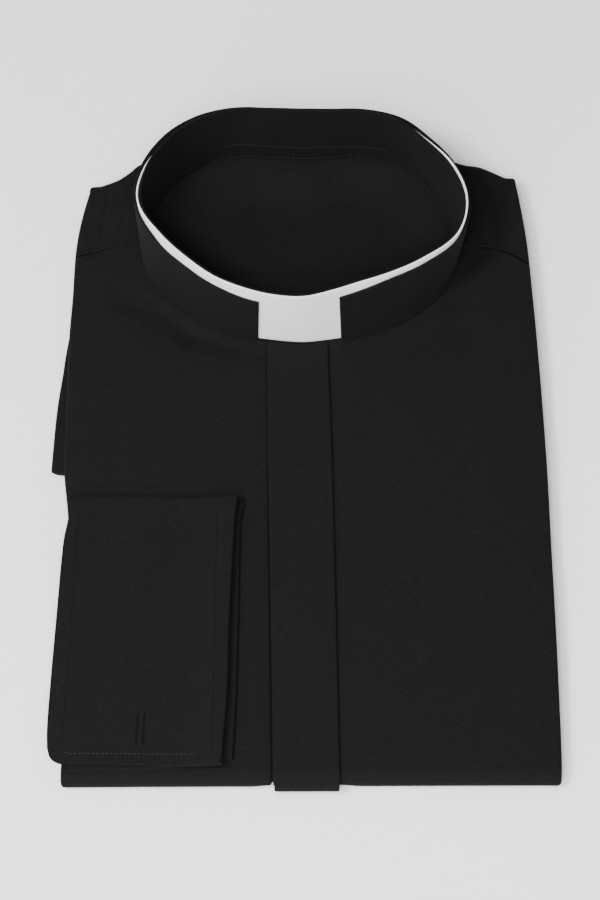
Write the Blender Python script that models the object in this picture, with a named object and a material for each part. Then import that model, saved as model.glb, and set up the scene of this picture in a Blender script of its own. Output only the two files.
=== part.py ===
"""Clergy shirt, folded for the shelf: a black long-sleeved shirt that lies on its back.

Metres, +Z up, with the collar toward +Y and the wearer's left side toward +X. "Along" is the
distance from the bottom fold toward the collar, and "across" the distance from the centre line.
Each piece of cloth is a grid that a function bends to its place, with the same grid one wall
thickness deeper and a rim between the two. The pieces lie a seam gap apart.
"""

import math

import bmesh
import bpy

# The cloth.
WALL = 0.0012
SEAM_GAP = 0.0003

# The folded body: side folds, bottom fold and the layers between them.
NECK_HALF = 0.0785
FLAT_CLOTH = 0.1135
SIDE_FOLD = 0.0018
SIDE_RETURN = 0.008
BOTTOM_REACH = 0.0058
HEM_ALONG = 0.322
CROWN_POWER = 5
LOWER_LEVEL = 0.0050
MIDDLE_X = -0.0031
MIDDLE_ALONG = 0.1737

# The placket, and how the wearer's right front tucks under the left.
PLACKET_LEFT = -0.0176
PLACKET_RIGHT = 0.0133
PLACKET_WALL = 0.0018
PLACKET_SETTLE = 0.010
TUCK_START = -0.026
TUCK_END = -0.0195
TUCK_DEPTH = WALL + SEAM_GAP
UNDERLAP = 0.013

# The yoke and the back inside the neck.
YOKE_SEAM_ALONG = 0.278
YOKE_SEAM_HALF = 0.113
INNER_YOKE_HALF = 0.088
INNER_YOKE_EASE = 0.006
SHOULDER_RETURN = 0.006
BACK_END_ALONG = 0.216
NECK_FLOOR_START = 0.200
NECK_FLOOR_END = 0.212
NECK_RISE = 0.0080
NECK_RISE_EDGE = 0.001
NECK_RISE_INSIDE = 0.020
NECK_RISE_OUTSIDE = 0.006
NECK_RISE_START = 75
NECK_RISE_FULL = 120

# The collar: an inner band, the white insert and an outer band.
COLLAR_ALONG = 0.289
BAND_WALL = 0.0013
INSERT_WALL = 0.0008
TAB_LEFT = -21.7
TAB_RIGHT = 17.8

# The sleeves and the double cuff.
SLEEVE_WALL = 0.0024
SLEEVE_INSET = 0.012
SLEEVE_LEFT_RUN = 0.0105
SLEEVE_EDGE_START = 0.95
SLEEVE_EDGE_THIN = 0.5
SLEEVE_STEP = 0.0002
SLEEVE_TURN = SIDE_FOLD + SEAM_GAP + SLEEVE_WALL / 2
CUFF_WALL = 0.0010
CUFF_PITCH = 0.00125
CUFF_WRIST_ALONG = 0.1411
CUFF_WRIST_RISE = 0.0030
CUFF_UPPER_END = 0.0078
CUFF_UPPER_SKEW = -0.0020
CUFF_LOWER_END = 0.0052
CUFF_LOFT = 0.0012
CUFF_LOFT_START = 0.75
CUFF_SEAM_X = -0.100
CUFF_SIDE_X = -0.121
SLEEVE_LANDING = -CUFF_SEAM_X + 2 * SEAM_GAP
CUFF_CORNER = 0.008
CUFF_DROOP = 0.0022

# The hidden layers.
LAYERS_START = 0.0072
LAYERS_SIDE = 0.0140
LAYERS_FAR_GAP = 0.003
LAYERS_TUCK_EASE = 0.006
SHOULDER_MIDDLE = 0.3495

# Grids and shading.
NECK_STEP = 15
MERGE_DISTANCE = 1e-6
SHARP_ANGLE = math.radians(40)

# Looks: linear colours of black poly-cotton and of the white insert.
BLACK_FRONT = (0.0137, 0.0137, 0.0142)
BLACK_BAND = (0.0116, 0.0116, 0.0120)
BLACK_CUFF = (0.0160, 0.0160, 0.0165)
WHITE_INSERT = (0.72, 0.72, 0.74)
CLOTH_ROUGHNESS = 0.85
INSERT_ROUGHNESS = 0.45


class Table:
    """Sizes in rows under named columns, read between the rows along a smooth curve."""

    def __init__(self, columns, rows, turn=None):
        rows = list(rows)
        if turn:
            before = [(row[0] - turn,) + row[1:] for row in rows[-2:]]
            after = [(row[0] + turn,) + row[1:] for row in rows[:2]]
            rows = before + rows + after
        self.turn = turn
        self.keys = [row[0] for row in rows]
        self.values = {name: [row[i] for row in rows] for i, name in enumerate(columns)}

    def slope(self, values, i):
        low = max(i - 1, 0)
        high = min(i + 1, len(values) - 1)
        return (values[high] - values[low]) / (self.keys[high] - self.keys[low])

    def read(self, name, where):
        values = self.values[name]
        if self.turn:
            where %= self.turn
        where = min(max(where, self.keys[0]), self.keys[-1])
        i = max(k for k in range(len(values) - 1) if self.keys[k] <= where)
        step = self.keys[i + 1] - self.keys[i]
        t = (where - self.keys[i]) / step
        start = self.slope(values, i) * step
        end = self.slope(values, i + 1) * step
        return (
            values[i] * (2 * t**3 - 3 * t**2 + 1)
            + start * (t**3 - 2 * t**2 + t)
            + values[i + 1] * (3 * t**2 - 2 * t**3)
            + end * (t**3 - t**2)
        )


# The folded outline and its height: at the middle (crown) and at the side folds (rim).
BODY = Table(
    ("along", "left", "right", "crown", "rim"),
    (
        (0.000, 0.1147, 0.1146, 0.0116, 0.0106),
        (0.012, 0.1144, 0.1150, 0.0122, 0.0109),
        (0.030, 0.1138, 0.1153, 0.0130, 0.0113),
        (0.075, 0.1130, 0.1157, 0.0143, 0.0117),
        (0.124, 0.1128, 0.1158, 0.0150, 0.0118),
        (0.142, 0.1141, 0.1159, 0.0152, 0.0119),
        (0.165, 0.1162, 0.1159, 0.0155, 0.0120),
        (0.205, 0.1157, 0.1153, 0.0162, 0.0122),
        (0.240, 0.1152, 0.1144, 0.0169, 0.0125),
        (0.262, 0.1140, 0.1136, 0.0172, 0.0128),
        (0.286, 0.1131, 0.1126, 0.0172, 0.0131),
        (0.298, 0.1119, 0.1117, 0.0170, 0.0133),
        (0.310, 0.1102, 0.1104, 0.0167, 0.0135),
        (0.322, 0.1078, 0.1089, 0.0163, 0.0137),
        (0.332, 0.1052, 0.1072, 0.0160, 0.0138),
    ),
)

# The shoulder fold: how far along it lies, and how far its turn reaches.
SHOULDER = Table(
    ("x", "along", "reach"),
    (
        (-0.1060, 0.3298, 0.0052),
        (-0.0965, 0.3312, 0.0052),
        (-0.0890, 0.3352, 0.0050),
        (-0.0830, 0.3393, 0.0046),
        (-0.0600, 0.3450, 0.0038),
        (0.0000, 0.3495, 0.0035),
        (0.0600, 0.3455, 0.0038),
        (0.0830, 0.3380, 0.0046),
        (0.0931, 0.3347, 0.0052),
        (0.1066, 0.3300, 0.0052),
    ),
)

# The seams from the neck to the side folds, where the fronts meet the yoke.
YOKE_SEAM = Table(
    ("x", "along"),
    (
        (-0.1130, 0.2850),
        (-0.1006, 0.2881),
        (-0.0907, 0.2898),
        (-0.0785, 0.2898),
        (0.0785, 0.2885),
        (0.0933, 0.2860),
        (0.1032, 0.2835),
        (0.1130, 0.2780),
    ),
)

# The collar round the neck: angle from the front, radii at foot and top edge, and the heights
# of the top edges of the outer band, the insert and the inner band.
COLLAR = Table(
    ("angle", "foot", "top", "outer", "insert", "inner"),
    (
        (0, 0.0576, 0.0558, 0.0485, 0.0550, 0.0545),
        (15, 0.0579, 0.0542, 0.0495, 0.0550, 0.0545),
        (30, 0.0612, 0.0551, 0.0502, 0.0550, 0.0545),
        (45, 0.0660, 0.0599, 0.0518, 0.0550, 0.0545),
        (60, 0.0713, 0.0678, 0.0517, 0.0550, 0.0545),
        (75, 0.0753, 0.0779, 0.0522, 0.0552, 0.0547),
        (90, 0.0785, 0.0804, 0.0528, 0.0554, 0.0549),
        (105, 0.0772, 0.0769, 0.0542, 0.0557, 0.0552),
        (120, 0.0752, 0.0716, 0.0545, 0.0557, 0.0553),
        (135, 0.0720, 0.0686, 0.0532, 0.0531, 0.0555),
        (150, 0.0644, 0.0625, 0.0528, 0.0537, 0.0557),
        (165, 0.0570, 0.0561, 0.0530, 0.0538, 0.0558),
        (180, 0.0548, 0.0546, 0.0530, 0.0538, 0.0559),
        (195, 0.0575, 0.0574, 0.0530, 0.0538, 0.0559),
        (210, 0.0646, 0.0646, 0.0528, 0.0538, 0.0558),
        (225, 0.0715, 0.0719, 0.0534, 0.0537, 0.0556),
        (240, 0.0757, 0.0770, 0.0543, 0.0533, 0.0554),
        (255, 0.0785, 0.0804, 0.0541, 0.0557, 0.0552),
        (270, 0.0785, 0.0802, 0.0526, 0.0554, 0.0549),
        (285, 0.0764, 0.0718, 0.0499, 0.0551, 0.0546),
        (300, 0.0698, 0.0652, 0.0497, 0.0550, 0.0545),
        (315, 0.0649, 0.0614, 0.0494, 0.0550, 0.0545),
        (330, 0.0610, 0.0582, 0.0484, 0.0550, 0.0545),
        (345, 0.0581, 0.0566, 0.0484, 0.0550, 0.0545),
    ),
    turn=360,
)

# The double cuff: the flap's free edge, and the hand folds of its upper and lower halves.
CUFF = Table(
    ("along", "flap", "upper_hand", "lower_hand"),
    (
        (0.0060, -0.1206, -0.0426, -0.0366),
        (0.0180, -0.1209, -0.0420, -0.0361),
        (0.0390, -0.1200, -0.0405, -0.0352),
        (0.0800, -0.1177, -0.0391, -0.0345),
        (0.1200, -0.1153, -0.0366, -0.0337),
        (0.1430, -0.1122, -0.0345, -0.0328),
    ),
)

# The right sleeve: how far its cloth runs straight out from inside the layers and, level with
# the cuff, which share of the way it then goes round the side fold and up onto the front.
SLEEVE = Table(
    ("along", "out", "round"),
    (
        (0.0140, 0.0102, 1.00),
        (0.0400, 0.0102, 1.00),
        (0.0750, 0.0102, 1.00),
        (0.0950, 0.0102, 1.00),
        (0.1120, 0.0102, 1.00),
        (0.1150, 0.0102, 0.89),
        (0.1177, 0.0102, 0.77),
        (0.1202, 0.0102, 0.65),
        (0.1226, 0.0102, 0.53),
        (0.1248, 0.0102, 0.41),
        (0.1268, 0.0102, 0.29),
        (0.1287, 0.0102, 0.17),
        (0.1310, 0.0102, 0.05),
        (0.1330, 0.0102, 0.00),
        (0.1480, 0.0102, 0.00),
        (0.1638, 0.0092, 0.00),
        (0.1650, 0.0150, 0.00),
        (0.1672, 0.0176, 0.00),
        (0.1730, 0.0179, 0.00),
        (0.1840, 0.0174, 0.00),
        (0.1960, 0.0169, 0.00),
        (0.2070, 0.0160, 0.00),
        (0.2180, 0.0147, 0.00),
        (0.2300, 0.0135, 0.00),
        (0.2410, 0.0122, 0.00),
        (0.2560, 0.0105, 0.00),
        (0.3000, 0.0100, 0.00),
    ),
)
SLEEVE_WRAP_END = 0.155

# The folded edges of the hidden layers, from the top one down: how far each stays back, and how
# far its rounded edge bulges.
LAYER_EDGES = (
    # back, bulge
    (0.0000, 0.0012),
    (0.0021, 0.0010),
    (0.0006, 0.0012),
)

# The hidden layers' grid, in shares of their width and of their length: closer together where
# the layers pass over the placket and under the right front's edge, and at the neck's floor.
LAYERS_COLUMNS = (-1, -0.75, -0.5, -0.27, -0.2, -0.12, 0, 0.12, 0.14, 0.2, 0.27, 0.5, 0.75, 1)
LAYERS_ROWS = (0, 0.08, 0.16, 0.24, 0.32, 0.4, 0.48, 0.56, 0.58, 0.6, 0.62, 0.7, 0.8, 0.9, 0.98, 1)

# The largest creases: soft troughs from one point to another, fading beside the collar.
CREASE_CLEAR = 0.0025
CREASE_FADE = 0.007
CREASES = (
    # x, along, to x, to along, half width, depth
    (-0.0870, 0.2590, -0.0560, 0.2390, 0.0075, 0.0018),
    (-0.0560, 0.2360, -0.0230, 0.2260, 0.0060, 0.0012),
    (0.0700, 0.2580, 0.0850, 0.2830, 0.0070, 0.0024),
    (-0.0840, 0.3300, -0.1030, 0.2890, 0.0055, 0.0014),
    (0.0400, 0.2230, 0.0800, 0.2380, 0.0110, 0.0008),
)


def ease(value):
    """0 below 0, 1 above 1, and a smooth step between."""
    value = min(max(value, 0.0), 1.0)
    return value * value * (3 - 2 * value)


def crease_depth(x, along):
    """How deep the creases press the cloth here, fading out beside the collar's foot."""
    total = 0.0
    for x0, along0, x1, along1, half_width, depth in CREASES:
        run_x = x1 - x0
        run_along = along1 - along0
        share = ((x - x0) * run_x + (along - along0) * run_along) / (run_x**2 + run_along**2)
        share = min(max(share, 0.0), 1.0)
        away = math.hypot(x - x0 - share * run_x, along - along0 - share * run_along)
        total += depth * math.exp(-((away / half_width) ** 2))
    angle = math.degrees(math.atan2(x, COLLAR_ALONG - along))
    outside = math.hypot(x, COLLAR_ALONG - along) - COLLAR.read("foot", angle)
    return total * ease((outside - CREASE_CLEAR) / CREASE_FADE)


def cloth_height(x, along):
    """Height of the top skin: a low crown that falls to the side folds, less its creases."""
    width = BODY.read("left" if x < 0 else "right", along)
    crown = BODY.read("crown", along)
    rim = BODY.read("rim", along)
    share = min(abs(x) / width, 1.0)
    return rim + (crown - rim) * (1 - share**CROWN_POWER) - crease_depth(x, along)


def under_lift(x):
    """How far the placket below lifts the skin that lies on it."""
    outside = max(PLACKET_LEFT - x, x - PLACKET_RIGHT, 0.0)
    return (PLACKET_WALL + SEAM_GAP) * (1 - ease(outside / PLACKET_SETTLE))


def tuck(x):
    """How far the wearer's right front drops to pass under the left one."""
    return TUCK_DEPTH * ease((x - TUCK_START) / (TUCK_END - TUCK_START))


def side_fold(cloth, side, along, depth):
    """(x, depth) at a distance of cloth from the centre line: flat, then round the side fold."""
    if cloth <= NECK_HALF:
        return side * cloth, depth
    straight = BODY.read("left" if side < 0 else "right", along) - SIDE_FOLD
    if cloth <= FLAT_CLOTH:
        share = (cloth - NECK_HALF) / (FLAT_CLOTH - NECK_HALF)
        return side * (NECK_HALF + share * (straight - NECK_HALF)), depth
    turn = min((cloth - FLAT_CLOTH) / SIDE_FOLD, math.pi)
    back = max(cloth - FLAT_CLOTH - math.pi * SIDE_FOLD, 0.0)
    x = straight + (SIDE_FOLD - depth) * math.sin(turn) - back
    return side * x, SIDE_FOLD - (SIDE_FOLD - depth) * math.cos(turn)


def rim_x(x, side, along):
    """x for reading the skin's height, held at the start of the side fold."""
    straight = BODY.read("left" if side < 0 else "right", along) - SIDE_FOLD
    return side * min(side * x, straight)


def collar_angle(x, front):
    """Angle at which the collar's foot passes x, on its front or its back half."""
    side = 1 if x >= 0 else -1
    low, high = (0.0, 90.0) if front else (180.0, 90.0)
    for _ in range(40):
        middle = (low + high) / 2
        reach = COLLAR.read("foot", side * middle) * math.sin(math.radians(middle))
        if reach < abs(x):
            low = middle
        else:
            high = middle
    return side * low


def neck_edge(x, front):
    """How far along the neckline lies at x."""
    if abs(x) >= NECK_HALF:
        return YOKE_SEAM.read("along", x)
    angle = collar_angle(x, front)
    return COLLAR_ALONG - COLLAR.read("foot", angle) * math.cos(math.radians(angle))


def body_run(x, skin_x, run, top_end, depth):
    """(along, height) down the front (0 to 1), round the bottom fold (to 2) and under (to 3)."""
    if run <= 1:
        along = top_end + (BOTTOM_REACH - top_end) * run
        return along, cloth_height(skin_x, along) - depth
    low = under_lift(x)
    if run <= 2:
        turn = math.pi * (run - 1)
        top = cloth_height(skin_x, BOTTOM_REACH)
        along = BOTTOM_REACH - (BOTTOM_REACH - depth) * math.sin(turn)
        return along, (top + low) / 2 + ((top - low) / 2 - depth) * math.cos(turn)
    return BOTTOM_REACH + (HEM_ALONG - BOTTOM_REACH) * (run - 2), low + depth


def front_point(side, cloth, run, depth):
    """A point of one front: side 1 is the wearer's left, side -1 the wearer's right."""
    x, _ = side_fold(cloth, side, BOTTOM_REACH, depth)
    seam = neck_edge(max(min(x, YOKE_SEAM_HALF), -YOKE_SEAM_HALF), True) - SEAM_GAP / 2
    along, _ = body_run(x, 0.0, run, seam, depth)
    x, depth = side_fold(cloth, side, along, depth)
    if side < 0:
        depth += tuck(x)
    along, height = body_run(x, rim_x(x, side, along), run, seam, depth)
    return x, along, height


def placket_point(x, run, depth):
    """A point of the placket, which lies on the fronts from the collar to the hem below."""
    collar_front = neck_edge(x, True) - BAND_WALL - INSERT_WALL / 2 - 2 * SEAM_GAP
    raised = depth - PLACKET_WALL - SEAM_GAP
    along, height = body_run(x, x, run, collar_front, raised)
    return x, along, height


def neck_rise(x, along):
    """How far the inside of the yoke rises to the collar's foot, round the back of the neck."""
    angle = math.degrees(math.atan2(x, COLLAR_ALONG - along))
    reach = math.hypot(x, COLLAR_ALONG - along)
    inside = COLLAR.read("foot", angle) - NECK_RISE_EDGE - reach
    near = 1 - ease(abs(inside) / (NECK_RISE_INSIDE if inside > 0 else NECK_RISE_OUTSIDE))
    turned = ease((abs(angle) - NECK_RISE_START) / (NECK_RISE_FULL - NECK_RISE_START))
    return NECK_RISE * near * turned


def yoke_point(cloth, run, depth):
    """A point of the yoke: the shoulders (0 to 1), the shoulder fold (to 2) and inside (to 3)."""
    side = 1 if cloth >= 0 else -1
    x, _ = side_fold(abs(cloth), side, COLLAR_ALONG, depth)
    top_end = neck_edge(max(min(x, YOKE_SEAM_HALF), -YOKE_SEAM_HALF), False) + SEAM_GAP / 2
    reach = SHOULDER.read("reach", x)
    fold = SHOULDER.read("along", x) - reach
    inner = ease((abs(cloth) - INNER_YOKE_HALF) / INNER_YOKE_EASE)
    low_end = YOKE_SEAM_ALONG + inner * (fold - SHOULDER_RETURN - YOKE_SEAM_ALONG)
    along = top_end + (fold - top_end) * min(run, 1.0)
    x, depth = side_fold(abs(cloth), side, along, depth)
    top = cloth_height(rim_x(x, side, along), along)
    if run <= 1:
        return x, along, top - depth
    if run <= 2:
        turn = math.pi * (run - 1)
        low = LOWER_LEVEL + neck_rise(x, fold)
        height = (top + low) / 2 + ((top - low) / 2 - depth) * math.cos(turn)
        return x, fold + (reach - depth) * math.sin(turn), height
    along = fold + (low_end - fold) * (run - 2)
    return x, along, LOWER_LEVEL + neck_rise(x, along) + depth


def back_point(x, along, depth):
    """A point of the back, seen through the neck below the yoke."""
    return x, along, LOWER_LEVEL + WALL - depth


def collar_point(angle, offset, share, edge):
    """A point of the standing collar, at an offset outward from the middle of its thickness."""
    foot = COLLAR.read("foot", angle)
    turn = math.radians(angle)
    base_x = (foot + offset) * math.sin(turn)
    base_along = COLLAR_ALONG - (foot + offset) * math.cos(turn)
    base = cloth_height(base_x, base_along) + SEAM_GAP
    full = COLLAR.read("inner", angle)
    height = base + (edge - base) * share
    radius = foot + (COLLAR.read("top", angle) - foot) * (height - base) / (full - base) + offset
    return radius * math.sin(turn), COLLAR_ALONG - radius * math.cos(turn), height


def inner_band_point(angle, share, depth):
    """A point of the inner band, which stands round the whole neck."""
    offset = -INSERT_WALL / 2 - SEAM_GAP - depth
    return collar_point(angle, offset, share, COLLAR.read("inner", angle))


def insert_point(angle, share, depth):
    """A point of the white insert, which stands just above the inner band but at the back."""
    return collar_point(angle, INSERT_WALL / 2 - depth, share, COLLAR.read("insert", angle))


def outer_band_point(angle, share, depth):
    """A point of the outer band, which is lower, so that the insert shows above it."""
    offset = INSERT_WALL / 2 + SEAM_GAP + BAND_WALL - depth
    return collar_point(angle, offset, share, COLLAR.read("outer", angle))


def cuff_floor(x, along):
    """Height of the middle of the cuff's thickness, which drops where it passes the side."""
    held = max(x, CUFF_SEAM_X)
    past = max(CUFF_SEAM_X - x, 0.0) / (CUFF_SEAM_X - CUFF_SIDE_X)
    below = SEAM_GAP + CUFF_WALL / 2 + 1.5 * CUFF_PITCH
    return cloth_height(held, along) + below - CUFF_DROOP * past**2


def cuff_point(wrist, fold, depth):
    """A point of the cuff. Wrist runs up the lower half (0 to 1), round the wrist fold (to 2)
    and down the upper half (to 3); fold runs from the free edge (0 to 1), round the hand fold
    (to 2) and back inside to the sleeve seam (to 3)."""
    turn = math.pi * min(max(2 - wrist, 0.0), 1.0)
    upper = (1 + math.cos(turn)) / 2
    hairpin = math.pi * min(max(fold - 1, 0.0), 1.0)
    bend = CUFF_PITCH / 2 + CUFF_WALL / 2 - depth
    away = CUFF_PITCH + bend * math.cos(hairpin)
    share = fold if fold <= 1 else 1 - max(fold - 2, 0.0)
    near_end = CUFF_UPPER_END + CUFF_UPPER_SKEW * share if wrist >= 2 else CUFF_LOWER_END
    far_end = CUFF_WRIST_ALONG + CUFF_WRIST_RISE * (1 - share)
    down = max(wrist - 2, 1 - wrist, 0.0)
    along = far_end + (near_end - far_end) * down
    hand = CUFF.read("lower_hand", along) * (1 - upper) + CUFF.read("upper_hand", along) * upper
    free = CUFF_SEAM_X
    if fold <= 1:
        free += (CUFF.read("flap", along) - CUFF_SEAM_X) * upper
    x = free + (hand - free) * share + bend * math.sin(hairpin)
    from_edge = (hand - free) * share
    if fold <= 1 and wrist > 2 and from_edge < CUFF_CORNER:
        cut = CUFF_CORNER - math.sqrt(CUFF_CORNER**2 - (CUFF_CORNER - from_edge) ** 2)
        along = far_end + (near_end + cut - far_end) * down
    loft = CUFF_LOFT * upper * ease((share - CUFF_LOFT_START) / (1 - CUFF_LOFT_START))
    height = cuff_floor(x, along) + away * math.cos(turn) + loft
    return x, along + away * math.sin(turn), height


def sleeve_middle(side, run, along):
    """(x, height) on the middle of the sleeve's cloth, at a run out from inside the layers."""
    width = BODY.read("left" if side < 0 else "right", along)
    centre = width - SIDE_FOLD
    top = cloth_height(side * centre, along)
    straight = SLEEVE_INSET - SIDE_FOLD
    if run <= straight or side > 0 or along > SLEEVE_WRAP_END:
        return side * (width - SLEEVE_INSET + run), top - SIDE_FOLD - SLEEVE_TURN
    turn = (run - straight) / SLEEVE_TURN
    if turn <= math.pi:
        height = top - SIDE_FOLD - SLEEVE_TURN * math.cos(turn)
        return side * (centre + SLEEVE_TURN * math.sin(turn)), height
    share = (run - straight - math.pi * SLEEVE_TURN) / (centre - SLEEVE_LANDING)
    low = top - SIDE_FOLD + SLEEVE_TURN
    rise = cuff_floor(CUFF_SEAM_X, along) - low
    return side * (centre + (SLEEVE_LANDING - centre) * share), low + rise * ease(share)


def sleeve_run_out(along):
    """The whole run of the right sleeve's cloth."""
    centre = BODY.read("left", along) - SIDE_FOLD
    onto_front = math.pi * SLEEVE_TURN + centre - SLEEVE_LANDING
    return SLEEVE.read("out", along) + SLEEVE.read("round", along) * onto_front


def sleeve_point(side, share, along, depth):
    """A point of a sleeve, whose two layers lie together as one thickness."""
    run = SLEEVE_LEFT_RUN if side > 0 else sleeve_run_out(along)
    x0, height0 = sleeve_middle(side, run * share - SLEEVE_STEP, along)
    x1, height1 = sleeve_middle(side, run * share + SLEEVE_STEP, along)
    length = math.hypot(x1 - x0, height1 - height0)
    thin = 1 - SLEEVE_EDGE_THIN * ease((share - SLEEVE_EDGE_START) / (1 - SLEEVE_EDGE_START))
    away = side * (SLEEVE_WALL / 2 - depth) * thin / length
    x, height = sleeve_middle(side, run * share, along)
    return x + away * (height1 - height0), along, height - away * (x1 - x0)


def layers_inset(level):
    """How far the layers' side stays back at a level from their top (0) to their underside (1)."""
    place = level * len(LAYER_EDGES)
    back, bulge = LAYER_EDGES[min(int(place), len(LAYER_EDGES) - 1)]
    across = 2 * (place % 1) - 1 if level < 1 else 1
    return back + bulge * (1 - math.sqrt(1 - across * across))


def layers_point(x_share, along_share, level):
    """A point of the hidden layers, at a level from their top (0) to their underside (1)."""
    side = 1 if x_share >= 0 else -1
    inset = layers_inset(level)
    along = LAYERS_START + (SHOULDER_MIDDLE - LAYERS_START) * along_share
    half = BODY.read("left" if side < 0 else "right", along) - LAYERS_SIDE
    x = x_share * half - (side * inset if abs(x_share) >= 1 else 0)
    far = SHOULDER.read("along", x) - LAYERS_FAR_GAP
    along = LAYERS_START + (far - LAYERS_START) * along_share
    along += inset if along_share <= 0 else -inset if along_share >= 1 else 0
    under = tuck(x) * (1 - ease((x - UNDERLAP) / LAYERS_TUCK_EASE))
    top = cloth_height(x, along) - WALL - SEAM_GAP - under
    floor = ease((along - NECK_FLOOR_START) / (NECK_FLOOR_END - NECK_FLOOR_START))
    top += (LOWER_LEVEL - SEAM_GAP - top) * floor
    bottom = under_lift(x) + WALL + SEAM_GAP + under
    return x, along, top + (bottom - top) * level


def placed(point):
    """The point in the object's frame, whose origin is under the middle of the whole shirt."""
    x, along, height = point
    return x - MIDDLE_X, along - MIDDLE_ALONG, height


def material(name, colour, roughness):
    made = bpy.data.materials.new(name)
    made.use_nodes = True
    shader = made.node_tree.nodes["Principled BSDF"]
    shader.inputs["Base Color"].default_value = (*colour, 1.0)
    shader.inputs["Roughness"].default_value = roughness
    shader.inputs["Metallic"].default_value = 0.0
    return made


def flat_grid(columns, rows):
    """A grid with a vertex for each column and row, and the function that bends it to a surface."""
    mesh = bmesh.new()
    column_of = mesh.verts.layers.int.new("column")
    row_of = mesh.verts.layers.int.new("row")
    across = len(columns) - 1
    down = len(rows) - 1
    bmesh.ops.create_grid(mesh, x_segments=across, y_segments=down, size=1.0)
    for vert in mesh.verts:
        vert[column_of] = round((vert.co.x + 1) / 2 * across)
        vert[row_of] = round((vert.co.y + 1) / 2 * down)

    def bend(items, surface, depth):
        for item in items:
            if isinstance(item, bmesh.types.BMVert):
                where = surface(columns[item[column_of]], rows[item[row_of]], depth)
                item.co = placed(where)

    return mesh, bend


def piece_from(name, mesh, look):
    """The named piece that a finished mesh makes, with smooth faces and its own material."""
    bmesh.ops.recalc_face_normals(mesh, faces=mesh.faces)
    data = bpy.data.meshes.new(name)
    mesh.to_mesh(data)
    mesh.free()
    data.shade_smooth()
    data.set_sharp_from_angle(angle=SHARP_ANGLE)
    piece = bpy.data.objects.new(name, data)
    bpy.context.collection.objects.link(piece)
    data.materials.append(material(name + "_cloth", *look))


def cloth(name, columns, rows, surface, wall, look, closed=False):
    """A wall of cloth: a grid bent by surface(column, row, depth), thickened by one wall."""
    mesh, bend = flat_grid(columns, rows)
    bend(mesh.verts, surface, 0.0)
    if closed:
        bmesh.ops.remove_doubles(mesh, verts=mesh.verts, dist=MERGE_DISTANCE)
    grown = bmesh.ops.extrude_face_region(mesh, geom=mesh.faces[:], use_keep_orig=True)
    bend(grown["geom"], surface, wall)
    piece_from(name, mesh, look)


def spaced(start, end, count, power=1.0):
    """Evenly spaced values, or values that stand closer together near the start."""
    return [start + (end - start) * (i / count) ** power for i in range(count + 1)]


def side_columns():
    """Distances of cloth from beside the neck, round the side fold and back under."""
    flat = spaced(NECK_HALF, FLAT_CLOTH, 4)
    fold = spaced(FLAT_CLOTH, FLAT_CLOTH + math.pi * SIDE_FOLD, 4)
    return flat[:-1] + fold + [fold[-1] + SIDE_RETURN]


def neck_columns(first_angle):
    """Distances of cloth from the centre line that divide the neckline evenly."""
    return [
        NECK_HALF * math.sin(math.radians(angle))
        for angle in range(first_angle, 90, NECK_STEP)
    ]


def body_runs():
    down = spaced(0.0, 1.0, 18, power=1.3)
    fold = spaced(1.0, 2.0, 6)
    under = spaced(2.0, 3.0, 3)
    return down + fold[1:] + under[1:]


def make_fronts():
    settle = PLACKET_RIGHT + PLACKET_SETTLE
    left = spaced(PLACKET_LEFT + SEAM_GAP, PLACKET_RIGHT, 3) + spaced(PLACKET_RIGHT, settle, 2)[1:]
    left += neck_columns(28) + side_columns()
    right = spaced(-UNDERLAP, -PLACKET_LEFT, 2) + spaced(-TUCK_END, -TUCK_START, 2)
    right += neck_columns(30) + side_columns()
    cloth(
        "front_left",
        left,
        body_runs(),
        lambda distance, run, depth: front_point(1, distance, run, depth),
        WALL,
        (BLACK_FRONT, CLOTH_ROUGHNESS),
    )
    cloth(
        "front_right",
        right,
        body_runs(),
        lambda distance, run, depth: front_point(-1, distance, run, depth),
        WALL,
        (BLACK_FRONT, CLOTH_ROUGHNESS),
    )


def make_placket():
    columns = spaced(PLACKET_LEFT, PLACKET_RIGHT, 3)
    cloth(
        "placket", columns, body_runs(), placket_point, PLACKET_WALL, (BLACK_BAND, CLOTH_ROUGHNESS)
    )


def make_yoke():
    half = neck_columns(NECK_STEP) + side_columns()
    columns = [-distance for distance in reversed(half)] + [0.0] + half
    runs = spaced(0.0, 1.0, 5) + spaced(1.0, 2.0, 6)[1:] + spaced(2.0, 3.0, 8, power=1.3)[1:]
    cloth("yoke", columns, runs, yoke_point, WALL, (BLACK_FRONT, CLOTH_ROUGHNESS))


def make_back():
    columns = spaced(-INNER_YOKE_HALF, INNER_YOKE_HALF, 4)
    rows = spaced(BACK_END_ALONG, YOKE_SEAM_ALONG - SEAM_GAP, 2)
    cloth("back", columns, rows, back_point, WALL, (BLACK_BAND, CLOTH_ROUGHNESS))


def make_collar():
    gap_to_gap = spaced(TAB_RIGHT, 360.0 + TAB_LEFT, 54)
    full_turn = gap_to_gap + spaced(gap_to_gap[-1], 360.0 + TAB_RIGHT, 7)[1:]
    shares = [0.0, 0.5, 1.0]
    bands = (BLACK_BAND, CLOTH_ROUGHNESS)
    cloth("collar_inner", full_turn, shares, inner_band_point, BAND_WALL, bands, closed=True)
    white = (WHITE_INSERT, INSERT_ROUGHNESS)
    cloth("collar_insert", full_turn, shares, insert_point, INSERT_WALL, white, closed=True)
    cloth("collar_outer", gap_to_gap, shares, outer_band_point, BAND_WALL, bands)


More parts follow.
